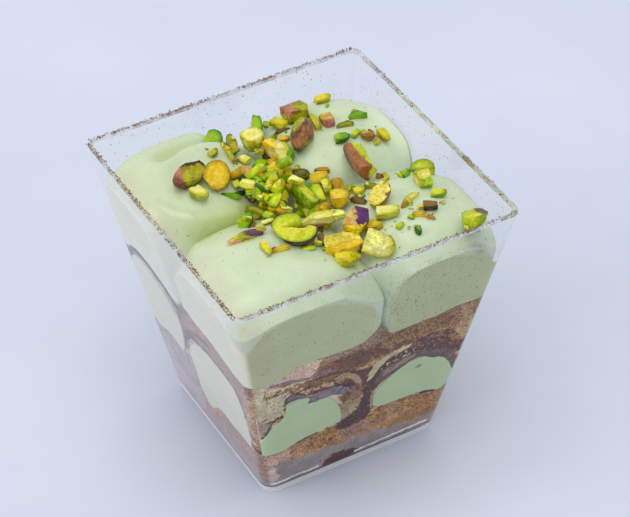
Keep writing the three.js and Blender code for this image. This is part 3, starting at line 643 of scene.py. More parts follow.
LEFT_MARKS = [
    ((171, 158, 160), 0.8, 0, (150, 138, 146), 0.2, [
        (-31, 46.5), (-24, 47), (-19, 48), (-14, 48.8), (-9, 48.6), (-5, 48.8), (-3, 50), (0, 48.6), (3, 46),
        (4.6, 42), (6, 34), (8, 28), (4, 31.5), (0, 36.4), (-5, 38.4), (-10, 39.5), (-22, 39.2), (-24.4, 36),
        (-25, 28), (-26, 20), (-30, 24), (-33, 38)]),
    ((186, 173, 167), 1.0, 0, (140, 116, 104), 0.25, [
        (-33, 44), (-29, 42), (-26.4, 36), (-25.4, 28), (-26, 20), (-29, 21), (-31, 28), (-33, 38)]),
    ((145, 138, 150), 0.8, 0.9, None, 0, [
        (-12, 44.4), (-8, 43.4), (-4, 41.4), (0, 38.8), (3, 35), (5, 31.4)]),
    ((139, 126, 138), 0.6, 0.5, None, 0, [
        (-24.6, 30), (-24, 37.6), (-20, 39.5), (-10, 40), (-5, 39.1), (0, 37.1), (3.4, 33.6), (6.6, 28.4),
        (8, 26)]),
    ((156, 135, 131), 1.2, 1.3, (120, 96, 92), 0.3, [(-3.4, 48.8), (0, 46.8), (2.4, 44), (4.2, 40.8)]),
    ((130, 119, 131), 0.8, 1.1, None, 0, [
        (3.2, 44.2), (5.7, 46.3), (10.7, 47.7), (15.7, 48.6), (20.5, 48.7), (24, 48), (26.4, 46.8),
        (28.6, 43.6)]),
    ((167, 158, 163), 1.5, 0, (140, 118, 112), 0.2, [
        (-26, 17), (-17, 17), (-10, 16.4), (-4, 13), (-2, 9), (-8, 5), (-20, 6), (-25, 10)]),
    ((174, 172, 186), 2.0, 0, (160, 148, 152), 0.2, [
        (4, 15), (7, 25), (14, 25.6), (22, 23), (29, 20), (26, 1), (4, 1)]),
    ((164, 162, 176), 1.2, 0, None, 0, [(-26, 8), (-18, 7), (-8, 7), (4, 9), (4, 1), (-26, 1)]),
]
MARKS = {"front": FRONT_MARKS, "left": LEFT_MARKS}
# Where the mounds lie against the front and left walls: the lower ones, then the upper ones.
PATCHES = {
    "front": [
        [(-21.3, 35.2), (-21.5, 31), (-22, 29.8), (-24.3, 28.5), (-25.5, 26.5), (-26, 25), (-26.8, 23.5),
         (-28.6, 21.4), (-28.8, 19.6), (-27.3, 18.2), (-25, 17), (-22, 16.3), (-20, 17), (-17.5, 18),
         (-15, 18.7), (-12, 19), (-8, 19.2), (-5, 19.5), (-3.7, 20.3), (-4.7, 23), (-5.2, 26), (-5.6, 28),
         (-6.2, 29.6), (-7.1, 30.9), (-9, 31.6), (-13.4, 31.6), (-15.6, 32.2), (-14.9, 33.4), (-15.9, 34.7),
         (-17.6, 35.2), (-19.3, 35.8)],
        [(3.4, 25), (3.8, 26.9), (4.8, 28.4), (6.6, 29.7), (9.1, 30.8), (12.3, 32.2), (15, 32.8),
         (16.6, 32.2), (18.5, 30.6), (21, 29.7), (23.2, 27.8), (24.3, 25.9), (25, 23.8), (25.4, 21.9),
         (25.4, 19.4), (24.4, 16.9), (22.6, 15.9), (20.4, 17.2), (17.9, 18.1), (12.9, 18.6), (8.5, 18.8),
         (5.4, 19.1), (3.8, 20.1), (3.3, 22.5)],
    ],
    "left": [
        [(-24, 22), (-24, 27), (-24.2, 33), (-23.2, 36.4), (-22, 38.8), (-18, 39.3), (-10, 39.5), (-5, 38.3),
         (0, 36.4), (3, 33.4), (5, 30), (6.6, 26), (6.2, 20), (5, 15), (2.6, 11.6), (-1, 11.3), (-4, 12.5),
         (-8, 15.5), (-12, 16.5), (-17, 16.5), (-22.4, 17)],
        [(7.4, 26), (5.6, 31), (5, 36), (5, 41), (6.4, 44.6), (10.7, 46.4), (15.7, 47.3), (20, 47.5),
         (24, 46.6), (27, 44), (28.6, 41), (28.8, 32), (27, 24), (22, 22.5), (18, 24.6), (14, 25.2),
         (10, 24)],
    ],
}
UPPER_PATCHES = {
    "front": [
        [(-36, 44), (-35.6, 54), (-34.2, 58.5), (-32, 62.3), (-29.5, 65), (-25, 66.9), (-20, 67.5),
         (-12, 66.4), (-5, 63.2), (-1.2, 60.2), (1.2, 56.5), (2.1, 53), (2, 50), (0, 47), (-10, 40)],
        [(2.6, 46), (3.2, 50.5), (2.6, 55), (2.7, 60), (3.6, 63), (7, 65.6), (14, 66.9), (20, 66.7), (26, 65),
         (30.5, 61.8), (33, 57), (36, 50), (36, 44), (15, 40)],
    ],
    "left": [
        [(-36, 44), (-35.6, 54), (-34, 60), (-31, 64.5), (-26, 67), (-18, 67.6), (-9, 66.5), (-2.5, 63),
         (0.2, 58), (1.4, 52), (1.4, 46), (-15, 40)],
        [(2, 46), (3.2, 53), (4, 59), (7, 64), (13, 67), (20, 67.6), (27, 66), (31.5, 62), (34.6, 57),
         (36, 50), (36, 44), (15, 40)],
    ],
}
# Seen through the wall, what lies behind it looks moved across and up by this much.
MOVED = {"front": (0.22, -0.46), "left": (0.43, -0.46)}
# The right wall repeats the front and the back wall the left, mirrored, lowered and warped: source,
# places across the wall and those that they repeat, how much lower it lies before and behind the
# crease, and the places for the upper mounds.
TURNED = {
    "right": ("front", (-36, -25, 0, 5.5, 27, 36), (36, 25, 3.3, -3.7, -28.4, -36), 4.5, 1.5,
              (-36, 0, 36), (36, 2.4, -36)),
    "back": ("left", (-36, -28, -4, -1, 1.5, 26, 36), (35, 28.8, 7.4, 6.9, 6.5, -24, -36), 5.0, 4.0,
             (-36, -1, 36), (36, 1.7, -36)),
}
# Each wall's axis, and the side of the middle that it is on.
WALLS = {"front": (1, -1), "left": (0, -1), "right": (0, 1), "back": (1, 1)}


def places_along(name, points):
    """Places along a wall."""
    return points[:, 1 - WALLS[name][0]]


def on_wall(name, points, upper=False):
    """The wall whose outlines a wall's points are to be looked up in, and their places across and up it."""
    source, s, h = name, places_along(name, points), points[:, 2]
    if name in TURNED:
        source, here, there, low, far, upper_here, upper_there = TURNED[name]
        drift = np.stack([s * 0.12, h * 0.12, np.full(len(s), 3.1 + len(name))], 1)
        h = h + 1.1 * noise(drift, 6)
        if upper:
            s = np.interp(s, upper_here, upper_there)
        else:
            h = h + np.where(s < 0, low, far) * (1 - step(34, 44, h))
            s = np.interp(s, here, there) + 1.4 * noise(drift, 5)
    ds, dh = MOVED[source]
    fine = np.stack([s * 0.8, h * 0.8, np.full(len(s), 1.7 + len(name))], 1)
    return source, s - ds + 0.2 * noise(fine, 7), h - dh + 0.2 * noise(fine, 8)


def wall_places(points):
    """For each wall, the points that are nearest to it, and what on_wall says of them."""
    x, y, _ = points.T
    nearest = np.where(np.abs(y) >= np.abs(x), np.where(y < 0, 0, 3), np.where(x < 0, 1, 2))
    for index, name in enumerate(WALLS):
        own = np.flatnonzero(nearest == index)
        yield (own, *on_wall(name, points[own]))


def inside_depth(s, h, outline, line=0.0):
    """Signed distance to an outline, positive inside; with line, to a line of that half width."""
    near = np.full(len(s), 1e9)
    odd = np.zeros(len(s), bool)
    for (ax, ay), (bx, by) in zip(outline, outline[1:] + ([] if line else outline[:1])):
        dx, dy = bx - ax, by - ay
        t = np.clip(((s - ax) * dx + (h - ay) * dy) / (dx * dx + dy * dy), 0, 1)
        near = np.minimum(near, np.hypot(s - ax - t * dx, h - ay - t * dy))
        if not line and ay != by:
            odd ^= ((ay > h) != (by > h)) & (s < ax + (h - ay) / (by - ay) * dx)
    return line - near if line else np.where(odd, near, -near)


def deepest(s, h, outlines):
    return np.maximum(*[inside_depth(s, h, outline) for outline in outlines])


def at_shares(law, points):
    """A layer's height under points, whose places its law wants as shares of the food's half width."""
    half = food_half(points[:, 2])
    return law(np.clip(points[:, 0] / half, -1, 1), np.clip(points[:, 1] / half, -1, 1))


def patch_depth(points):
    """How far inside the lower mounds' patches on the walls each point lies."""
    depth = np.full(len(points), -9.0)
    for own, source, s, h in wall_places(points):
        depth[own] = deepest(s, h, PATCHES[source])
    above = points[:, 2] - at_shares(bottom_top, points)
    return np.minimum(depth, above + 0.1)


def wall_colours(points, base):
    """Base colours overlaid with the marks."""
    colours = base.copy()
    for name, (own, source, s, h) in zip(WALLS, wall_places(points)):
        part, places = colours[own], points[own]
        ragged = 0.55 * noise(places * 0.9, 11) + 0.5 * noise(places * 2.1, 12) + 0.35 * noise(places * 4.3, 13)
        fleck = noise(places * 3.1, 14) + 0.3 * noise(places * 1.1, 15)
        for colour, loose, line, speck, share, outline in MARKS[source]:
            reach = loose + line + 0.6
            low, high = np.min(outline, axis=0) - reach, np.max(outline, axis=0) + reach
            near = np.flatnonzero((s > low[0]) & (s < high[0]) & (h > low[1]) & (h < high[1]))
            if not len(near):
                continue
            depth = inside_depth(s[near], h[near], outline, line) + loose * ragged[near]
            weight = step(-0.12 - 0.1 * loose, 0.12 + 0.1 * loose, depth)
            tone = seen(source, colour)
            if speck:
                specks = step(0.75 - 1.5 * share, 0.95 - 1.5 * share, fleck[near])
                tone = blend(tone, seen(source, speck), specks)
            part[near] = blend(part[near], tone * (1 + 0.16 * fleck[near, None]), weight)
        # The walls out of sight have no lilac reflections on the wet sponge and the veins.
        if name in TURNED:
            away = places_along(name, places) + outer_half(places[:, 2])
            brown = step(0, 0.08, 1 - part[:, 1] / part[:, 0]) * step(0, 12, away)
            part = blend(part, np.minimum(part, part[:, :1] * (1, 0.8, 0.62)), brown)
        # Wetter and drier places, and the lower part painted paler against the shade that falls on it.
        blotch = 1 + 0.24 * noise(places * 0.4, 16)[:, None] * (1, 1.12, 1.25)
        colours[own] = part * blotch / (0.78 + 0.22 * step(8, 24, h))[:, None]
        # Above the lower mounds the front is paler on the left and darker on the right.
        if source == "front":
            top = mix(1.14, 0.8, step(-14, 0, s))[:, None] - (0, 0.01, 0.04)
            colours[own] *= mix(1.0, top, step(39, 42, h)[:, None])
    return colours


# ---------- sponge and marbling ----------

def sponge_base(points):
    """Crumb with lighter, darker and greyer places."""
    crumb, light, dark, grey = (seen("front", tone) for tone in (
        (134, 108, 84), (156, 126, 92), (92, 68, 56), (150, 130, 120)))
    colours = blend(crumb, light, step(0.0, 0.5, fbm(points * 0.5, 3, 21)))
    colours = blend(colours, dark, step(0.1, 0.5, fbm(points * 1.5, 3, 22)) * 0.8)
    colours = blend(colours, grey, step(0.05, 0.45, fbm(points * 0.2, 2, 23)) * 0.5)
    return colours * (1 + 0.3 * noise(points * 3.2, 24)[:, None])


def marbled_base(points):
    """Cream and cocoa that have run along the mounds' shoulders."""
    x, y, z = points.T
    place = np.where(np.abs(y) >= np.abs(x), x, y)
    hump = 7 * (np.exp(-((place + 14) / 9) ** 2) + np.exp(-((place - 14) / 9) ** 2))
    flow = np.stack([x * 0.12, y * 0.12, (z - hump) * 0.55], 1)
    streak = fbm(flow + 0.4 * noise(points * 0.3, 31)[:, None], 3, 32)
    value = streak + 0.3 * noise(points * 2.4, 33)
    umber, rust, milky, creamy, dark = (seen("front", tone) for tone in (
        UMBER, RUST, (168, 150, 122), (186, 178, 150), (80, 54, 48)))
    colours = blend(umber, rust, step(-0.16, -0.02, value))
    colours = blend(colours, milky, step(-0.02, 0.14, value))
    colours = blend(colours, creamy, step(0.22, 0.5, value))
    return blend(colours, dark, step(0.35, 0.7, noise(points * 1.3, 34)) * 0.7)


LAYER_PATTERN = square_pattern((110, 200, 270, 110), 6)
# How far the layers and the cream reach into the cup's wall, so that no gap shows between them.
LAYER_INTO_WALL, CREAM_INTO_WALL = 0.12, 0.25


def wall_ring(pattern, z, into):
    """A ring that reaches the given depth into the cup's wall."""
    return square_ring(pattern, outer_half(z) - WALL + into, cup_corner(z) - (WALL - into) / 2, z)


def make_layer(name, low, high, base, material, node, slot, rows, caps, pores):
    """A layer that fills the cup from wall to wall between two heights."""
    flat = square_ring(LAYER_PATTERN, 1.0, 0.08, 0)[:, :2]

    def ring_of(height, share):
        z = height(*(flat * share).T)
        ring = wall_ring(LAYER_PATTERN, z, LAYER_INTO_WALL)
        ring[:, :2] *= share
        ring[:, 2] += 0.2 * fbm(ring * 0.9, 3, 43)
        return ring
    at_low, at_high = ring_of(low, 1.0), ring_of(high, 1.0)
    rings = [ring_of(low, share) for share in (0.3, 0.7, 0.96)]
    outward = flat / np.abs(flat).max(axis=1)[:, None]
    for k in range(rows + 1):
        ring = mix(at_low, at_high, k / rows)
        coarse, fine = step(0.15, 0.7, fbm(ring * 0.9, 3, 41)), step(0.3, 0.8, noise(ring * 2.4, 42))
        inset = np.minimum(pores * (coarse + 0.5 * fine), 0.08)
        # The layer draws back from the wall where a mound lies against it.
        inset = inset + 0.5 * step(-0.1, 0.35, patch_depth(ring))
        ring[:, :2] -= outward * inset[:, None]
        rings.append(ring)
    rings += [ring_of(high, share) for share in caps]
    zero = np.zeros(1)
    points, quads, tris = loft(rings, (0, 0, low(zero, zero)[0]), (0, 0, high(zero, zero)[0]))
    colours = wall_colours(points, base(points))
    soaked = 0.75 * (1 - step(10, 12.5, points[:, 2] + 1.2 * noise(points * 0.3, 44)))
    calm = np.maximum(soaked, 0.65 * step(0.2, 0.42, colours.mean(axis=1)))
    make(name, points, quads, tris, material, colours, extra={"wet": calm}, nodes=[node], slot=slot)


# How far out the rings on a layer's top lie, as shares of its edge.
CAPS = [0.985, 0.95, 0.88, 0.78, 0.66, 0.52, 0.38, 0.24, 0.1]
make_layer("soaked_sponge_bottom", lambda x, y: FLOOR + 0.02 + 0 * x, bottom_top, sponge_base, SPONGE,
           "sponge_bottom", "sponge", rows=56, caps=CAPS, pores=0.3)
make_layer("cocoa_marbling", lambda x, y: bottom_top(x, y) - 0.1, marbled_top, marbled_base, MARBLED,
           "marbled_layer", "marbled", rows=84, caps=CAPS[1::3], pores=0.12)
make_layer("soaked_sponge_top", lambda x, y: marbled_top(x, y) - 0.1, sponge_top_seen, sponge_base, SPONGE,
           "sponge_top", "sponge", rows=34, caps=CAPS, pores=0.3)

# ---------- cream ----------

def mound_rings(mound, law, level_half, layer, around, rows, shares, lean=None, sink=0.0):
    """Rings of a mound: underside, sides and top. Its middle and limits are given at level_half, it
    stands on a layer, leans off that place and sinks at its edge."""
    (x0, x1), (y0, y1), (cx, cy, _), _ = mound
    angle = np.arange(around) * 2 * math.pi / around
    ux, uy = np.cos(angle), np.sin(angle)

    def side(limits, centre, towards):
        limit = np.where(towards < 0, limits[0], limits[1])
        wall = np.abs(limit) > level_half - 0.2
        return np.abs(limit - centre) + np.where(wall, GAP + CREAM_INTO_WALL, 0.1), wall
    (dx, wall_x), (dy, wall_y) = side((x0, x1), cx, ux), side((y0, y1), cy, uy)
    power = np.where(wall_x & wall_y, 17.0, 10.0)
    size = (np.abs(ux / dx) ** power + np.abs(uy / dy) ** power) ** (-1 / power)
    ox, oy = ux * size, uy * size

    def spot(share, z):
        scale = food_half(z) / level_half
        px, py = (cx + share * ox) * scale, (cy + share * oy) * scale
        if lean:
            shift_x, shift_y = lean(px, py, z)
            px, py = px + share * shift_x, py + share * shift_y
        return np.stack([px, py, z], 1)

    def height(share):
        z = law(cx + share * ox, cy + share * oy)
        tx, ty = np.abs(share * ox) / dx, np.abs(share * oy) / dy
        mixed = np.where(wall_x & wall_y, 0.0, np.where(wall_x | wall_y, 1.0, 0.5))
        beside, towards = np.where(wall_x, ty, tx), np.where(wall_x, tx, ty)
        return z - sink * mixed * step(0.45, 1.0, beside) * step(0.55, 1.0, towards)

    def foot(share):
        z = np.full(around, 30.0)
        for _ in range(6):
            z = at_shares(layer, spot(share, z))
        return z - 0.15
    low, high = foot(1.0), height(1.0)
    rings = [spot(share, foot(share)) for share in (0.35, 0.7, 0.9)]
    rings += [spot(1.0, mix(low, high, k / rows)) for k in range(rows + 1)]
    rings += [spot(share, height(share)) for share in shares]
    centre = float(law(np.float64(cx), np.float64(cy)))
    scale, low_scale = food_half(centre) / level_half, food_half(low.mean()) / level_half
    low_tip = (cx * low_scale, cy * low_scale, float(foot(0.02).mean()))
    return rings, low_tip, (cx * scale, cy * scale, centre)


def press_to_wall(points):
    """Inside its patches the cream lies against the wall, outside them it stands back."""
    held = np.abs(points[:, :2])
    half = outer_half(points[:, 2]) - WALL
    limit = half + mix(-0.6, CREAM_INTO_WALL, step(-0.3, 0.1, patch_depth(points)))
    pressed = np.where(held > half[:, None] - 1.5, np.minimum(held, limit[:, None]), held)
    points[:, :2] = np.sign(points[:, :2]) * pressed
    return points


def wall_gap(name, points):
    """How far each point lies within the cream's furthest reach into a wall."""
    axis, sign = WALLS[name]
    return outer_half(points[:, 2]) - WALL + CREAM_INTO_WALL - sign * points[:, axis]


GREEN_CREAM, GREENER_CREAM = rgb(204, 220, 184), rgb(198, 214, 172)
# The cream looks duller where it is wet against a wall: the lower and the upper mounds as they show
# through the wall.
PRESSED = {"front": ((153, 173, 148), (155, 165, 140)), "left": ((199, 204, 202), (203, 208, 205))}
# Painted shade on the cream's steep sides beside the upper mounds' patches, where less light falls on
# them; on the left wall it also paints out the cyan cast of the wall's reflection. The heights over which
# this sets in, and the share of the cream's colour.
PAINTED_SHADE_BESIDE = {"front": ((52, 60), (0.76, 0.78, 0.7)), "left": ((48, 51), (1.03, 0.9, 0.94))}
# Where nut dust and oil have tinted the cream, and where light and shade are painted on it: middle,
# reach across and deep, colour, weight.
STAINS_AND_PAINTED_LIGHT = [
    # Painted shade with some nut dust over the back left mound, and nut dust by the back wall.
    (-18, 13, 15, 15, (184, 198, 142), 0.42), (-18, 29.6, 3.5, 2, (196, 206, 104), 0.6),
    # Painted olive shade along the crease between the left mounds, and nut dust by the heap.
    (-22, 2.4, 9, 4, (176, 194, 112), 0.8), (-13.5, 0.5, 5, 5, (190, 196, 84), 0.75),
    (-7, 5, 10, 11, (196, 204, 120), 0.4), (5, -13, 13, 7, (200, 208, 130), 0.2),
    (13, 22, 8, 6, (198, 210, 140), 0.25), (10, -25, 4, 5, (196, 200, 96), 0.25),
    # Painted light on the back right mound's right slope and on the front right mound's top.
    (33, 12, 4.4, 15, (232, 248, 206), 0.9), (14, -22, 11, 8, (214, 230, 198), 0.5),
    # A grey patch of painted shade under the corner kernel, where the cream meets the front wall.
    (27.5, -34.2, 2.6, 0.7, (120, 122, 128), 0.7),
]


def cream_tint(points, outlines):
    """The cream's colours, and how wet it is. It is wet inside its outlines on the walls."""
    wave, held = fbm(points * 0.07, 2, 61), np.zeros(len(points))
    colours = blend(GREEN_CREAM, GREENER_CREAM, step(-0.4, 0.6, wave) * 0.35)
    # Stains of nut dust and oil, and painted light and shade.
    for x, y, wide, deep, tone, weight in STAINS_AND_PAINTED_LIGHT:
        off = ((points[:, 0] - x) / wide) ** 2 + ((points[:, 1] - y) / deep) ** 2
        stain_and_light = weight * np.exp(-off * (1 + 0.5 * wave)) * step(60, 64, points[:, 2])
        colours = blend(colours, rgb(*tone), stain_and_light)
    upper = outlines is UPPER_PATCHES
    for name in WALLS:
        gap = wall_gap(name, points)
        # Painted shade on the steep sides near the front wall, and on the left a painted tint against the
        # wall's cyan reflection.
        if upper and name in PAINTED_SHADE_BESIDE:
            heights, share = PAINTED_SHADE_BESIDE[name]
            painted_shade = 0.85 * (1 - step(3, 9, gap)) * step(*heights, points[:, 2])
            colours = blend(colours, colours * share, painted_shade)
        near = np.flatnonzero(gap < 1.2)
        source, s, h = on_wall(name, points[near], upper)
        depth = deepest(s, h, outlines[source]) + 0.25 * noise(points[near] * 0.8, 62)
        wet = step(-0.7, 0.45, depth) * (1 - step(0.7, 1.2, gap[near]))
        tone = seen(source, PRESSED[source][upper])
        colours[near] = blend(colours[near], tone * (1 + 0.05 * wave[near, None]), wet)
        # One small dark fleck on a lower mound.
        if name == "front" and not upper:
            fleck = np.exp(-((s - 15.4) / 0.8) ** 2 - ((h - 29.2) / 0.5) ** 2)
            colours[near] = blend(colours[near], seen("front", (104, 112, 96)), fleck)
        held[near] = np.maximum(held[near], wet)
    return {"colours": colours, "extra": {"wet": held}}


def make_mound(level, place, rings, tips, outlines):
    points, quads, tris = loft(rings, *tips)
    make(f"cream_mound_{level}_{place}", points, quads, tris, CREAM, nodes=[f"cream_{level}_{place}"],
         slot="cream", **cream_tint(points, outlines))
    return points, [*quads, *tris]


# How the lower mounds lean out of their upright places.
LEANS = {
    "front_left": lambda x, y, z: (0, 1.9 * step(8, 14, z) * (1 - step(27, 31, z)) * step(-6, 4, y)),
    "front_right": lambda x, y, z: (-0.6 * (1 - step(5, 9, x)), 0),
    "back_left": lambda x, y, z: (0, -3.9 * step(26, 33, z) * (1 - step(10, 16, y))),
    "back_right": lambda x, y, z: (-0.8 * (1 - step(5, 9, x)), 0),
}
# How far out the rings on a lower mound's top lie, and FINE_SHARES does the same for the upper ones.
SIDE_SHARES = [0.985, 0.96, 0.92, 0.86, 0.78, 0.68, 0.56, 0.42, 0.28, 0.14]
for place, mound in LOWER.items():
    rings, *tips = mound_rings(mound, lambda x, y: mound_height(mound, LOWER_FOOT, x, y), LOWER_HALF,
                               bottom_top, around=380, rows=84, shares=SIDE_SHARES, lean=LEANS[place])
    make_mound("mid", place, [press_to_wall(ring) for ring in rings], tips, PATCHES)


def at_front_wall(x, y, z):
    """Where the two front mounds meet at the wall, their crease swings to the right."""
    return (3.2 * np.exp(-((x + 0.6) / 6) ** 2) * step(-16, -31, y) * (1 - step(57, 69, z)), 0)


# The soft crest over the slope down to the front left mound.
LEDGE = [(-31, 14), (-28.7, 8.6), (-24.1, 5), (-18.8, 4), (-14.4, 3.6)]


def piped(name):
    """The height of an upper mound with the folds and ridges that the piping left on it."""
    def height(x, y):
        z = upper_height(name, x, y)
        inner = step(0, 3, LEVEL_HALF - np.maximum(np.abs(x), np.abs(y)))
        places = np.stack([x, y, np.full(np.shape(x), 2.0)], -1).reshape(-1, 3)
        swell = noise(places * 0.16, 71).reshape(np.shape(x))
        z = z + inner * 0.35 * swell
        if name == "back_left":
            far, angle = from_swirl(x, y)
            z = z + 0.7 * np.exp(-((far - 14) / 1.8) ** 2) * step(50, 70, angle) * (1 - step(120, 150, angle))
            # How far each place is from the crest, as a line of next to no width.
            thin = 0.001
            off = thin - inside_depth(x.ravel(), y.ravel(), LEDGE, thin).reshape(np.shape(x))
            z = z + 0.85 * np.exp(-(off / 2.0) ** 2) * inner
        if name == "back_right":
            fold = np.exp(-(((x - 26) * 0.8 + (y - 2) * 0.6) / 2.6) ** 2)
            z = z - 0.6 * fold * step(-8, 0, y) * (1 - step(6, 14, y)) * inner
        return z
    return height


def shoulder(points):
    """Outside its patch on a wall, the cream curves away from the wall."""
    reach = 12
    for name, (axis, sign) in WALLS.items():
        gap = wall_gap(name, points)
        near = np.flatnonzero(gap < reach)
        source, s, h = on_wall(name, points[near], upper=True)
        out = np.maximum(-deepest(s, h, UPPER_PATCHES[source]), 0)
        retreat = np.minimum(0.16 * step(0, 0.8, out) + out * out / 12, 5)
        points[near, axis] -= sign * retreat * (1 - np.maximum(gap[near], 0) / reach) ** 2
    return points


FINE_SHARES = [1 - (k / 56) ** 1.35 for k in range(1, 56)]
CREAM_TOPS = []
for place, mound in UPPER.items():
    lean = at_front_wall if place.startswith("front") else None
    rings, *tips = mound_rings(mound, piped(place), LEVEL_HALF, sponge_top_seen, around=320, rows=60,
                               shares=FINE_SHARES, lean=lean, sink=5.0)
    CREAM_TOPS.append(make_mound("top", place, [shoulder(ring) for ring in rings], tips, UPPER_PATCHES))

# ---------- pistachios ----------

# How much of an egg of half size one each cut keeps, along, across and up.
CUTS = {
    "whole": ((-1, 1), (-1, 1), (-1, 1)),
    "half": ((-1, 1), (-1, 1), (-1, 0.1)),
    "slice": ((-0.35, 0.35), (-1, 1), (-1, 1)),
    "slab": ((-0.9, 0.75), (-0.25, 1), (-0.8, 0.7)),
    "block": ((-0.5, 0.6), (-0.9, 0.65), (-1, 0.45)),
    "wedge": ((-0.2, 1), (-1, 0.5), (-1, 0.3)),
}
# Colours: skin and its second shade, rim of the flesh, flesh and its second shade.
LOOKS = {
    "yellow": ((172, 160, 6), (202, 184, 10), (178, 178, 4), (228, 212, 46), (202, 184, 6)),
    "lime": ((122, 152, 6), (152, 174, 8), (142, 170, 4), (212, 214, 44), (176, 190, 6)),
    "green": ((66, 120, 10), (44, 88, 10), (90, 150, 6), (152, 188, 14), (108, 160, 8)),
    "gold": ((178, 140, 8), (190, 148, 12), (190, 162, 6), (226, 188, 14), (232, 202, 58)),
    "pale": ((202, 196, 58), (168, 166, 22), (200, 196, 36), (238, 232, 144), (226, 218, 100)),
    "brown": ((162, 108, 54), (108, 66, 32), (172, 160, 10), (204, 194, 20), (164, 128, 16)),
    "pink": ((200, 144, 110), (152, 94, 70), (176, 152, 14), (210, 194, 40), (192, 132, 92)),
    "olive": ((126, 122, 8), (88, 84, 10), (126, 138, 6), (182, 176, 18), (138, 134, 6)),
    "dark": ((84, 50, 40), (44, 26, 28), (104, 84, 20), (136, 100, 50), (80, 54, 32)),
    "peach": ((216, 156, 104), (192, 118, 70), (212, 184, 66), (230, 192, 110), (216, 162, 78)),
    "rust": ((174, 108, 26), (128, 74, 24), (184, 138, 20), (200, 136, 26), (154, 92, 24)),
    "plum": ((132, 86, 76), (66, 40, 52), (164, 160, 20), (208, 202, 56), (172, 152, 24)),
    "half": ((88, 60, 30), (62, 42, 30), (140, 172, 6), (212, 212, 50), (176, 186, 8)),
}
# Middle, size, turn, cut and look of each free kernel.
KERNELS = {
    "slab_curved": ((-1, -1.3, 68.8), (11.6, 5.4, 3.9), (-90, 0, -24), "half", "lime"),
    "split_half": ((-9, -14, 70.2), (11.7, 8.1, 3.7), (-64, -4, 14), "half", "half"),
    "skin_big": ((16.9, 0.8, 70), (11, 4.3, 5), (-100, -6, 6), "block", "lime"),
    "whole": ((9.7, 15.8, 71.2), (11.7, 5.3, 5.6), (56, 0, 0), "whole", "brown"),
    "chunk_back": ((12.8, 23.9, 70.8), (5.8, 5.3, 3.9), (7, 6, -14), "block", "olive"),
    "half_pink": ((-20.9, 16.1, 70.5), (9.7, 5.4, 4.4), (15, 0, 28), "half", "olive"),
    "round_slice": ((-15.2, 12.5, 71.2), (3, 6.5, 7.3), (-119, -44, 0), "slice", "gold"),
    "slab_green": ((3.2, 15, 70), (8, 4.2, 4.3), (-74, 4, 8), "slab", "pale"),
    "purple": ((4.9, -18.3, 70.8), (6.4, 4.5, 4.5), (31, 0, 16), "block", "peach"),
    "long_yellow": ((-1.6, -12, 70), (11.4, 3.3, 2.6), (-15, 0, 0), "slab", "pale"),
    "orange_block": ((-1.1, -22, 68.2), (8.2, 5.1, 4.5), (-21, 0, 8), "block", "gold"),
    "yellow_chunk": ((6.1, -26.6, 69.4), (5.4, 7.3, 3.7), (46, 0, 12), "wedge", "pale"),
    "kernel_end": ((13.3, -13.9, 71), (8.2, 4.9, 3.6), (38, 0, 0), "half", "yellow"),
    "pale_block": ((-1.2, 20.9, 69.8), (5.6, 5.7, 4.8), (61, 0, 0), "half", "pale"),
    "gold_block": ((6.2, -8.1, 69.4), (4.4, 4, 3.4), (71, 10, 0), "block", "gold"),
    "right_block": ((25.6, -12.5, 70.1), (5.5, 4.5, 3.2), (71, 0, 0), "slab", "pale"),
    "corner_half": ((28.4, -31.8, 70.4), (8.4, 5.8, 4.1), (11, 6, -20), "half", "lime"),
}
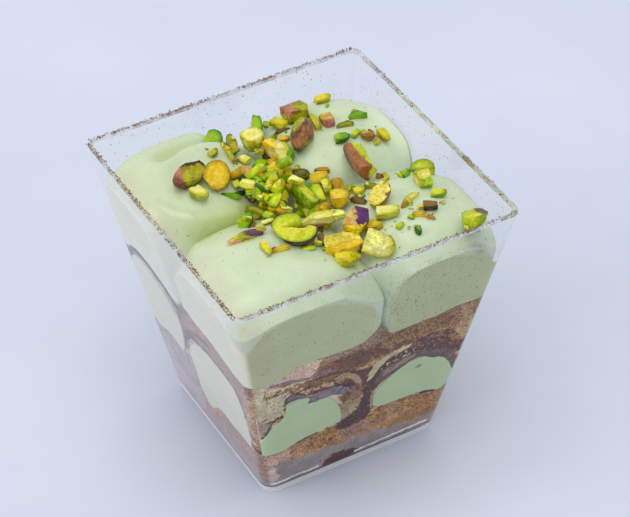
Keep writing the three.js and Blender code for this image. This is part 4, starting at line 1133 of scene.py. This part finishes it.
# Pieces that stick to the cream: place, size, heading, cut and look.
CHOPPED = [
    ((-21.2, 10.4), (4.8, 3.2, 2.6), -76, "wedge", "pale"),
    ((-10.9, 21.7), (2.9, 1.9, 1.5), 16, "wedge", "olive"), ((-7.1, 21), (8.7, 1.9, 1.5), -98, "slab", "plum"),
    ((-5.3, 23.4), (7.8, 2.6, 2.1), -109, "half", "olive"),
    ((-5.4, 17.4), (2.7, 2.2, 1.8), -73, "block", "pale"),
    ((-7.7, 12.4), (3.2, 2.9, 2.3), -31, "wedge", "peach"), ((-13.8, 8), (4.9, 1.3, 1), -43, "slab", "green"),
    ((-9.7, 6.6), (5.5, 2.3, 1.9), -96, "half", "dark"), ((-2.6, 14.5), (2.6, 3.4, 2.7), -55, "block", "green"),
    ((-15.4, -2.5), (4.8, 3.3, 2.7), 36, "wedge", "green"),
    ((-19.5, -8.6), (8.6, 2.5, 1.7), -5, "slab", "plum"), ((-11.7, -6.1), (3.3, 1.4, 1.1), -6, "wedge", "pale"),
    ((8, 23.9), (4.3, 2.7, 2.2), -65, "block", "yellow"), ((7.5, 21.7), (4.6, 1.1, 0.9), -12, "slab", "dark"),
    ((6.1, 18), (2.6, 1.9, 1.6), -22, "wedge", "gold"), ((1.6, 17.6), (3.5, 1.7, 1.4), -19, "slab", "dark"),
    ((15.3, 18.8), (6, 2, 1.6), -103, "slab", "yellow"), ((3.9, 7), (5, 3.5, 2.8), -31, "whole", "olive"),
    ((9, 5.2), (3.7, 1.5, 1.2), -25, "slab", "rust"), ((-3, -12), (4.6, 1.2, 1), -48, "slab", "dark"),
    ((-3.9, -17.3), (3.7, 1.5, 1.2), -101, "block", "dark"),
    ((-17.8, -15.9), (4.4, 1.8, 1.4), -99, "wedge", "yellow"),
    ((-14.7, -16.9), (4.4, 1.4, 1.1), -8, "slab", "gold"),
    ((22.1, 26.9), (4.2, 2.7, 2.2), -15, "wedge", "yellow"),
    ((17.7, 17.6), (4.4, 2.8, 2.2), -97, "block", "pink"),
    ((20.7, 14.6), (4.3, 1.5, 1.2), -11, "slab", "olive"), ((25.4, 16.8), (4.5, 2.4, 1.9), -8, "slab", "green"),
    ((17.6, 10.1), (3.7, 2.7, 2.1), -19, "wedge", "green"),
    ((23.8, 8.6), (3.9, 2.6, 2.1), -48, "half", "brown"), ((27.7, 8), (4.9, 2.3, 1.8), -101, "wedge", "yellow"),
    ((9.9, -5.1), (2.8, 2.1, 1.7), -83, "block", "olive"), ((9.9, -10.5), (3.9, 1.7, 1.3), -56, "slab", "dark"),
    ((11.6, -8.2), (2.8, 2.3, 1.9), -11, "wedge", "yellow"),
    ((14.7, -7.3), (3.2, 1.7, 1.4), -18, "slab", "olive"),
    ((12.5, -19.7), (5.7, 3.5, 2.8), -27, "wedge", "pale"), ((8, -20.6), (3.7, 2.6, 2.1), -7, "block", "gold"),
    ((19.9, -16.9), (4.8, 1.6, 1.3), 16, "slab", "pale"), ((24.5, -7.7), (2.4, 2.1, 1.7), -7, "wedge", "green"),
    ((26.6, -18.9), (3.7, 2.4, 1.9), -36, "wedge", "lime"),
    ((22.3, -22), (3.2, 2.4, 1.9), -25, "block", "dark"), ((18.6, -22.7), (3, 1.5, 1.2), -31, "slab", "gold"),
    ((-2.7, -25.8), (4.7, 3.9, 3.1), -31, "block", "yellow"),
    ((-6.6, 29.6), (5.6, 4.2, 4.4), 50, "wedge", "green"), ((3.4, 26.6), (6.4, 2.8, 6), 58, "wedge", "green"),
    ((30, -5.6), (5.6, 4.6, 3.6), -22, "slab", "lime"),
]
# Smaller ones that lie loose on the heap. Where the height is None, the heap gives it.
LOOSE = [
    ((-11.4, 9.9, 68.5), (1.7, 2, 1.6), -2, "block", "lime"),
    ((-0.8, 8.9, 68.7), (4.6, 3.3, 2.6), -63, "wedge", "gold"),
    ((-4.5, 8.2, 68.7), (6.3, 1.5, 1.2), -41, "slab", "yellow"),
    ((-5.6, 3.2, 68.7), (4.5, 1.6, 1.3), 1, "wedge", "lime"),
    ((-7.5, -1.5, 68.7), (3.5, 2.2, 1.8), 45, "wedge", "yellow"),
    ((-9.2, 3.8, 68.7), (4.7, 1.9, 1.5), -100, "block", "lime"),
    ((-12.2, -0.6, 68.7), (5.1, 1.5, 1.2), -50, "slab", "olive"),
    ((-10.7, -4.1, 68.7), (2.2, 2, 1.6), -54, "block", "lime"),
    ((-0.9, 18, 68.7), (2, 2, 1.6), -48, "block", "pale"),
    ((3, -3, 68.7), (5.3, 2.5, 2), -100, "block", "lime"),
    ((7, -0.5, 68.7), (4.7, 2.2, 1.7), -107, "slab", "pale"),
    ((2.1, -8.4, 68.7), (3, 3.1, 2.5), -24, "whole", "gold"),
    ((-6.2, -4.5, 68.7), (2.5, 2.4, 1.9), -16, "block", "pale"),
    ((21.5, 10.7, 70.2), (2.9, 1.5, 1.2), 36, "block", "lime"),
    ((20.4, -5.4, 68.7), (3.1, 1.1, 0.9), -107, "slab", "brown"),
    ((13.1, -24, 70), (2.4, 1.3, 1.1), 23, "wedge", "lime"),
    ((16.2, -26.7, 69.8), (2.7, 1.2, 1), -98, "slab", "peach"),
    ((-8.7, -19.2, 69.4), (3.6, 1, 0.8), -31, "slab", "lime"),
    ((-5.8, -18.5, 68.8), (2, 1.3, 1), -31, "block", "pale"),
    ((-3.9, -21.6, 68.7), (4.3, 1, 0.8), -40, "slab", "lime"),
    ((-6, 6.5, None), (4.4, 2.8, 2), -30, "wedge", "pale"),
    ((-4, 2, None), (4.6, 2.6, 1.9), 35, "wedge", "lime"),
    ((-7.8, 3.4, None), (3.8, 2.8, 2.1), -70, "wedge", "green"),
    ((-2.5, 5.5, None), (4, 2.4, 1.7), 10, "wedge", "yellow"),
    ((-6.4, -0.6, None), (4, 2.4, 1.7), 60, "wedge", "pale"),
    ((-3.4, 9.4, None), (3.8, 2.6, 1.8), 20, "wedge", "green"),
    ((-9.6, 6.6, None), (3.8, 2.2, 1.8), 80, "wedge", "lime"),
    ((-0.6, 0.6, None), (3.8, 2.4, 1.8), -50, "wedge", "pale"),
]
# Skin, bruises and lighter flesh on single kernels: the side they are on (right, near and up as the
# plate is looked at from its front left), how far out they begin, and their colour.
PAINTED = {
    (-19.5, -8.6): [((-0.9, 0.2, 0), 0.3, (190, 186, 14)), ((0.7, -0.3, 0.5), 0.5, (96, 62, 82)),
                    ((0.3, 0.9, -0.2), 0.4, (206, 158, 104))],
    (17.7, 17.6): [((0.2, 0.9, 0.3), 0.5, (186, 110, 96))],
    (23.8, 8.6): [((0.3, 0.6, 0.5), 0.3, (158, 106, 42))],
    (-7.7, 12.4): [((0.2, -0.3, 0.9), 0.4, (222, 150, 92))],
    "half_pink": [((-0.85, 0.3, 0.2), 0.56, (172, 112, 84)), ((-0.5, 0.8, -0.4), 0.62, (120, 70, 44)),
                  ((-0.1, -0.8, 0.5), 0.62, (74, 44, 26))],
    "round_slice": [((-0.5, 0.75, 0), 0.8, (176, 132, 10))],
    "chunk_back": [((-0.6, 0.1, 0.75), 0.66, (176, 118, 88))],
    "purple": [((0.75, 0.1, 0.6), 0.36, (88, 40, 92)), ((0.1, 0.75, -0.6), 0.3, (222, 196, 12))],
    "kernel_end": [((0.5, 0.4, 0.6), 0.62, (150, 92, 56)), ((-0.3, 0, 0.9), 0.6, (230, 214, 90))],
    "yellow_chunk": [((1, -0.1, 0.1), 0.7, (150, 76, 44)), ((-0.3, 0, 0.9), 0.5, (226, 222, 120))],
    "slab_green": [((-0.8, 0.1, 0.4), 0.5, (228, 186, 44)), ((0.9, 0.3, -0.2), 0.5, (112, 166, 10))],
    "pale_block": [((-0.5, 0.5, -0.5), 0.5, (176, 172, 14))],
    "corner_half": [((-0.6, 0.6, -0.3), 0.78, (228, 224, 92)), ((0.15, -0.6, 0.8), 0.72, (104, 72, 50))],
    "long_yellow": [((0, 0.5, -0.8), 0.5, (186, 120, 80)), ((0.95, 0, 0.2), 0.66, (212, 224, 112))],
    "skin_big": [((-0.75, 0.5, 0.05), -0.02, (152, 94, 50)), ((-0.9, 0.2, -0.3), 0.5, (104, 60, 34))],
    "whole": [((-0.5, -0.5, 0.6), 0.66, (160, 164, 14)), ((0, 0.5, -0.9), 0.5, (72, 92, 12))],
    "orange_block": [((0.8, 0.3, -0.2), 0.76, (150, 92, 44)), ((-0.2, -0.3, 0.9), 0.6, (226, 208, 70))],
    "slab_curved": [((0.75, -0.5, 0.1), 0.5, (84, 142, 8))],
    "right_block": [((0.8, 0.3, -0.2), 0.4, (158, 190, 20))],
}
# Hollows broken out of single kernels: the side they are on in the same terms, radius and depth, where
# half the kernel's size is one.
BITES = {
    "split_half": [((0.75, -0.65, 0.1), 0.8, 0.55)],
    "slab_green": [((-0.1, 0.8, 0.6), 1.2, 0.42), ((0.3, -0.8, 0.5), 1.2, 0.3)],
    "kernel_end": [((-0.6, 0.6, 0.4), 1.6, 0.2)],
    "orange_block": [((0.1, 0.2, 0.95), 1.4, 0.36), ((-0.3, 0.9, 0), 1.5, 0.2)],
    "pale_block": [((0.5, 0.6, 0.5), 1.1, 0.3), ((-0.6, 0.5, -0.3), 1.2, 0.3)],
    "chunk_back": [((0.4, 0.8, 0.2), 1.5, 0.35)],
    "skin_big": [((0.8, -0.2, 0.5), 1.4, 0.3)],
    "purple": [((-0.3, 0.8, 0.4), 1.4, 0.25)],
    "corner_half": [((-1, 0.1, 0), 4, 0.3), ((0, 0.9, 0.35), 4, 0.3), ((0, -0.4, 0.9), 4, 0.25)],
    "yellow_chunk": [((0.7, 0.8, 0.1), 1.5, 0.4), ((-0.7, 0.7, 0.2), 1.3, 0.35), ((0, 0.5, 0.8), 1.6, 0.2)],
    "long_yellow": [((0, 0.9, 0.4), 2.2, 0.25)],
    "half_pink": [((0.5, 0.3, 0.8), 1.1, 0.3)],
}
RIGHT, NEAR = np.array((0.876, -0.482, 0)), np.array((-0.482, -0.876, 0))
# Edges of the broken nuts sharper than this many degrees stay sharp.
BREAK_ANGLE = 32


def off_crease(at, size):
    """A chopped piece's place, moved so that it lies on one mound only."""
    reach = size[0] / 2 + GAP
    limits = UPPER[mound_under(*at)][:2]
    return [min(max(value, low + reach), high - reach) for value, (low, high) in zip(at, limits)]


BALLS = {}


def ball(detail):
    """Points and triangles of a ball with radius one, each made once."""
    if detail not in BALLS:
        bm = bmesh.new()
        bmesh.ops.create_icosphere(bm, subdivisions=detail, radius=1)
        points = np.array([v.co[:] for v in bm.verts])
        tris = np.array([[v.index for v in f.verts] for f in bm.faces])
        bm.free()
        BALLS[detail] = points / np.linalg.norm(points, axis=1)[:, None], tris
    return BALLS[detail]


def turned(turn):
    heading, pitch, roll = (math.radians(a) for a in turn)
    matrix = Matrix.Rotation(heading, 3, "Z") @ Matrix.Rotation(pitch, 3, "Y") @ Matrix.Rotation(roll, 3, "X")
    return np.array(matrix)


def broken_egg(share, size, matrix, cut, draw, chips, scoops, bites):
    """The ball's points as an egg of half size one that is cut, chipped and scooped out."""
    def way():
        normal = np.array([draw() - 0.5 for _ in range(3)]) + 1e-3
        return normal / np.linalg.norm(normal)
    held = np.clip(share, *np.transpose(CUTS[cut]))
    for _ in range(chips):
        normal = way()
        reach = (held @ normal).max() * mix(0.68, 0.95, draw())
        held = held - np.maximum(held @ normal - reach, 0)[:, None] * normal
    hollows = [(way(), mix(0.7, 1.6, draw()), mix(0.12, 0.32, draw())) for _ in range(scoops)]
    for side, radius, bite in bites:
        normal = size * ((side[0] * RIGHT + side[1] * NEAR + (0, 0, side[2])) @ matrix)
        hollows.append((normal / np.linalg.norm(normal), radius, bite))
    for normal, radius, bite in hollows:
        centre = normal * ((held @ normal).max() + radius - bite)
        out = held - centre
        far = np.linalg.norm(out, axis=1)
        held = centre + out * (np.maximum(far, radius) / far)[:, None]
    return held


def skin_and_flesh(look, thick, patchy, grain, wrinkles):
    """A kernel's colours from how thick its flesh is: skin, a dark broken edge, a green rim and flesh."""
    skin, skin2, rim, flesh, flesh2 = (rgb(*tone) for tone in LOOKS[look])
    colours = blend(flesh, flesh2, step(-0.1, 0.35, patchy))
    colours = blend(colours, rim, (1 - step(0.25, 0.9, thick + 0.1 * grain)) * 0.95)
    outer = blend(skin, skin2, step(-0.1, 0.3, patchy + 0.3 * grain))
    outer = outer * (1 - 0.35 * step(0.2, 0.5, wrinkles))[:, None]
    colours = blend(colours, outer, 1 - step(0.04, 0.12, thick))
    edge = step(0.02, 0.06, thick) * (1 - step(0.1, 0.2, thick))
    return blend(colours, skin2 * 0.6, edge * 0.75)


def cleave(points, colours):
    """Opens a cleft between the lobes of a kernel, wider towards the right. Returns its colours."""
    right, near = points @ RIGHT, points @ NEAR + 0.6
    opening = step(-3, 3.6, right)
    cleft = np.exp(-(near / (0.2 + 0.9 * opening)) ** 2) * step(-3.4, -2.2, right)
    points[:, 2] -= 2.4 * cleft * (0.4 + 0.6 * opening)
    # The deep of the cleft is painted dark brown as shade, and its lip paler.
    colours = blend(colours, rgb(92, 60, 24), step(0.45, 0.9, cleft) * 0.8)
    lip = np.exp(-((near - 1.5 * opening - 0.4) / 0.35) ** 2) * step(-2.6, -1.6, right)
    return blend(colours, rgb(230, 232, 110), 0.6 * lip)


def kernel_points(at, size, turn, cut, look, seed, detail, chips=4, scoops=2, bend=0.0, painted=(),
                  bites=(), cleft=False):
    """Points, triangles and colours of a broken kernel, its flesh paler away from its skin."""
    size, matrix = np.array(size), turned(turn)
    share, tris = ball(detail)
    held = broken_egg(share, size, matrix, cut, drawer(seed * 7919 + 13), chips, scoops, bites)
    low, high = np.transpose(CUTS[cut])
    depth = 1 - np.linalg.norm(held, axis=1)
    local = size * ((held - low) / (high - low) - 0.5)
    own = local + 31.7 * seed
    wrinkles = np.abs(noise(own * (0.5, 1.7, 1.7), 84))
    breaks = np.abs(noise(own * 1.1, 81)) + 0.5 * noise(own * 2.6, 85)
    rough = mix(0.16 * breaks, 0.2 * wrinkles, 1 - step(0.01, 0.03, depth)) * min(1, size[1] / 4)
    local = local * (1 + rough / np.maximum(np.linalg.norm(local, axis=1), 0.8))[:, None]
    local[:, 1] += bend * (1 - (2 * local[:, 0] / size[0]) ** 2)
    patchy, grain = fbm(own * 0.5, 3, 82), noise(own * 3, 83)
    colours = skin_and_flesh(look, depth * max(size.mean(), 4) / 2, patchy, grain, wrinkles)
    points = local @ matrix.T
    reach = np.stack([points @ RIGHT, points @ NEAR, points[:, 2]], 1)
    reach = reach / np.abs(reach).max(axis=0)
    for side, begin, tone in painted:
        across = reach @ np.array(side) + 0.16 * noise(own * 0.9, 86) + 0.07 * grain
        paint = rgb(*tone) * (1 + 0.3 * patchy + 0.25 * grain)[:, None]
        colours = blend(colours, paint, step(begin - 0.04, begin + 0.04, across))
        line = np.exp(-((across - begin + 0.05) / 0.035) ** 2)
        colours = colours * (1 - 0.35 * line)[:, None]
    if cleft:
        colours = cleave(points, colours)
    return points + at, tris, colours * (1 + 0.13 * grain + 0.12 * patchy)[:, None]


# Painted light: the colours made paler by a share, against the shade deep in the heap.
def painted_light(part, by):
    points, tris, colours = part
    return points, tris, np.minimum(colours * by, 0.95)


def join(parts):
    points, tris, colours = zip(*parts)
    bases = np.cumsum([0] + [len(p) for p in points[:-1]])
    return np.vstack(points), np.vstack([t + base for t, base in zip(tris, bases)]), np.vstack(colours)


def make_nuts(name, part, nodes=(), slot="pistachio"):
    points, tris, colours = part
    make(name, points, [], tris, KERNEL, colours, nodes=nodes, slot=slot, sharp=BREAK_ANGLE)


class Heap:
    """What lies on the plate so far, to drop further pieces on."""

    def __init__(self):
        self.trees = []

    def add(self, points, faces, *_):
        self.trees.append(BVHTree.FromPolygons(points.tolist(), [list(map(int, f)) for f in faces]))

    def top(self, x, y):
        """The height of what lies uppermost at a place, or None where nothing lies."""
        hits = [tree.ray_cast(Vector((x, y, 95)), Vector((0, 0, -1)))[0] for tree in self.trees]
        return max([hit.z for hit in hits if hit], default=None)


HEAP, WHOLE = Heap(), Heap()
for top in CREAM_TOPS:
    HEAP.add(*top)


def fillers():
    """Pieces that have dropped into the creases between the mounds and carry the heap."""
    draw = drawer(4243)
    names, parts = ["lime", "pale", "green", "pale", "gold", "yellow"], []
    for number in range(54):
        along, off = draw(), 2.6 * (draw() + draw() - 1)
        x, y = ((mix(-13, 11, along), off + 1) if number % 2 else (off, mix(-13, 15, along)))
        length = mix(2.6, 4.4, draw())
        z = HEAP.top(x, y)
        if z is None or z > 67.6:
            continue
        turn = (360 * draw(), 50 * draw() - 25, 360 * draw())
        part = kernel_points((x, y, z + 0.25 * length), (length, 0.7 * length, 0.6 * length), turn, "block",
                             names[int(draw() * 6)], seed=number + 900, detail=3)
        # Painted light on the pieces in the creases, against the shade that falls on them.
        parts.append(painted_light(part, 1.25))
        HEAP.add(*part)
    return parts


LOW_PIECES = fillers()

SKINNED = ("skin_big", "whole", "half_pink", "purple")
UNSCOOPED = ("whole", "round_slice", "slab_curved", "split_half")
CHIPS = {"whole": 1, "round_slice": 2, "slab_curved": 1, "split_half": 1, "pale_block": 3}
for number, (name, (at, size, turn, cut, look)) in enumerate(KERNELS.items()):
    kernel = kernel_points(at, size, turn, cut, look, seed=number + 1, detail=6, chips=CHIPS.get(name, 5),
                           scoops=0 if name in UNSCOOPED else 1, bend=1.8 if name == "slab_curved" else 0.0,
                           painted=PAINTED.get(name, ()), bites=BITES.get(name, ()),
                           cleft=name == "split_half")
    make_nuts(f"kernel_{name}", kernel, [f"pistachio_{name}"],
              "pistachio_skin" if name in SKINNED else "pistachio")
    HEAP.add(*kernel)
    WHOLE.add(*kernel)

chopped = {place: [] for place in UPPER}
for number, (at, size, heading, cut, look) in enumerate(CHOPPED):
    x, y = off_crease(at, size)
    z = cream_height(x, y) + size[2] * 0.22
    part = kernel_points((x, y, z), size, (heading, 0, 0), cut, look, seed=number + 40, detail=4,
                         painted=PAINTED.get(at, ()))
    chopped[mound_under(x, y)].append(part)
    HEAP.add(*part)
for place, parts in chopped.items():
    make_nuts(f"chopped_nuts_{place}", join(parts), [f"cream_top_{place}"])


def nut_crumbs():
    """The loose pieces, and crumbs: the first ones heaped in the middle, the others round the kernels."""
    draw = drawer(5077)
    parts, crumbs, heaped = list(LOW_PIECES), 330, 60
    for number, (at, size, heading, cut, look) in enumerate(LOOSE):
        turn = (heading, 24 * (draw() - 0.5), 60 * (draw() - 0.5))
        at = (*at[:2], at[2] or HEAP.top(*at[:2]) + 0.35 * size[2])
        part = kernel_points(at, size, turn, cut, look, seed=number + 120, detail=4)
        # Painted light on the loose pieces.
        parts.append(painted_light(part, 1.12))
        HEAP.add(*part)
    spots = [at[:2] for at, *_ in [*KERNELS.values(), *CHOPPED, *LOOSE]]
    beside = ((0, 0), (1.2, 0), (-1.2, 0), (0, 1.2), (0, -1.2))
    names = ["lime", "yellow", "pale", "pale", "lime", "green", "pale", "yellow", "gold", "rust"]
    for number in range(crumbs):
        x, y = spots[int(draw() * len(spots))]
        away, angle = 1.2 + 5.5 * draw() ** 2, 2 * math.pi * draw()
        x, y = x + away * math.cos(angle), y + away * math.sin(angle)
        length = mix(0.5, 2.6, draw() ** 2.4)
        if number < heaped:
            x, y = -5.5 + 7 * (draw() + draw() - 1), 5 + 11 * (draw() + draw() - 1)
            length = mix(2.2, 4.6, draw())
        if max(abs(x), abs(y)) > 31:
            continue
        z = HEAP.top(x, y)
        if z is None or not 66 < z < (70.4 if number < heaped else 71.6):
            continue
        if any(WHOLE.top(x + dx, y + dy) for dx, dy in beside):
            continue
        if length < 1.4 and z > cream_height(x, y) + 0.7:
            continue
        turn = (360 * draw(), 70 * (draw() - 0.5), 360 * draw())
        size = (length, mix(0.45, 0.8, draw()) * length, mix(0.3, 0.6, draw()) * length)
        cut = ("block", "wedge", "slab")[int(3 * draw())]
        look = names[int(draw() * 10)]
        part = kernel_points((x, y, z + 0.12 * length), size, turn, cut, look, seed=number + 200,
                             detail=3 if length > 1.2 else 2, chips=3, scoops=0)
        # The crumbs heaped in the middle get painted light against the shade there.
        if number < heaped:
            HEAP.add(*part)
            part = painted_light(part, 1.32)
        parts.append(part)
    make_nuts("nut_crumbs", join(parts))


nut_crumbs()

# ---------- cocoa powder ----------

def cocoa_specks():
    """Grains of cocoa along the rim, on the walls' inner faces and on the cream."""
    draw = drawer(90313)
    share, tris = ball(1)
    parts = []

    def grain(x, y, z, size):
        flat = np.array([size, size * mix(0.5, 1, draw()), size * mix(0.35, 0.7, draw())])
        turn = turned((360 * draw(), 180 * draw(), 360 * draw()))
        colour = mix(rgb(168, 116, 74), rgb(92, 56, 34), draw())
        parts.append(((share * flat) @ turn.T + (x, y, z), tris, np.tile(colour, (len(share), 1))))

    def wall_grain(side, s, out, z, size):
        """A grain at a place along a wall and a distance out from the middle."""
        axis, sign = WALLS[side]
        grain(*((s, sign * out) if axis else (sign * out, s)), z, size)
    inner = outer_half(HEIGHT) - WALL
    for side, count in {"front": 760, "right": 260, "back": 700, "left": 860}.items():
        for _ in range(count):
            s, across = (2 * draw() - 1) * 36.3, draw()
            dense = noise(np.array([[s * 0.12, len(side) * 3.3, 0.5]]), 91)[0]
            if dense < -0.1 and draw() < (0.85 if side == "right" else 0.5):
                continue
            wall_grain(side, s, inner + mix(-0.15, 1.05, across), HEIGHT + 0.05, mix(0.08, 0.25, draw() ** 2))
    for _ in range(2400):
        side = ("front", "front", "front", "left", "right", "back")[int(6 * draw())]
        s, z = (2 * draw() - 1) * 33, mix(50, HEIGHT, draw() ** 0.6)
        if side == "front":
            s, z = mix(3, 29, draw()) if draw() < 0.7 else mix(-31, 3, draw()), mix(46.5, 69, draw())
        if abs(s) < outer_half(z) - 3:
            wall_grain(side, s, outer_half(z) - WALL + 0.27, z, mix(0.07, 0.2, draw() ** 2))
    for _ in range(240):
        x, y = (2 * draw() - 1) * 33, (2 * draw() - 1) * 33
        grain(x, y, cream_height(x, y) + 0.02, mix(0.05, 0.16, draw() ** 2))
    points, faces, colours = join(parts)
    make("cocoa_specks", points, [], faces, COCOA, colours)


cocoa_specks()

# ---------- floor and light ----------

def floor_material():
    n = Nodes("pale_floor")
    shade = n.ramp(n.noise(9, 4), (0.35, rgb(203, 210, 228)), (0.65, rgb(212, 218, 234)))
    rough = n.ramp(n.noise(30, 2), (0.3, 0.45), (0.7, 0.6))
    return n.surface(n.shader(shade, rough, 0.3))


def make_floor():
    """A square floor of plain cells, just under the cup."""
    half, count = 900, 19
    steps = np.linspace(-half, half, count)
    xs, ys = np.meshgrid(steps, steps)
    points = np.column_stack([xs.ravel(), ys.ravel(), np.full(xs.size, -0.02)])
    index = np.arange(count * count).reshape(count, count)
    quads = np.stack([index[:-1, :-1], index[:-1, 1:], index[1:, 1:], index[1:, :-1]], -1)
    make("floor", points, quads, [], floor_material(), stage=True)


# Name, place, size, power and colour, in metres and watts.
LAMPS = [
    ("window", (-0.05, 0.0, 2.3), 1.8, 15.0, (1.0, 0.98, 0.94)),
    ("side", (-1.6, 0.3, 0.8), 1.2, 9.0, (1.0, 0.98, 0.96)),
]


def make_light():
    world = bpy.data.worlds.new("soft_daylight")
    world.use_nodes = True
    sky = world.node_tree.nodes["Background"].inputs
    sky["Color"].default_value, sky["Strength"].default_value = (0.95, 0.97, 1.0, 1), 0.78
    bpy.context.scene.world = world
    for name, place, size, power, colour in LAMPS:
        data = bpy.data.lights.new(name, "AREA")
        data.size, data.energy, data.color = size, power, colour
        lamp = bpy.data.objects.new(name, data)
        lamp.location = place
        lamp.rotation_euler = (Vector((0, 0, 0.05)) - Vector(place)).to_track_quat("-Z", "Y").to_euler()
        bpy.context.scene.collection.objects.link(lamp)


make_floor()
make_light()
bpy.context.scene.view_settings.view_transform = "Standard"
cycles = bpy.context.scene.cycles
cycles.max_bounces, cycles.glossy_bounces, cycles.transmission_bounces = 20, 14, 16
cycles.transparent_max_bounces = 24
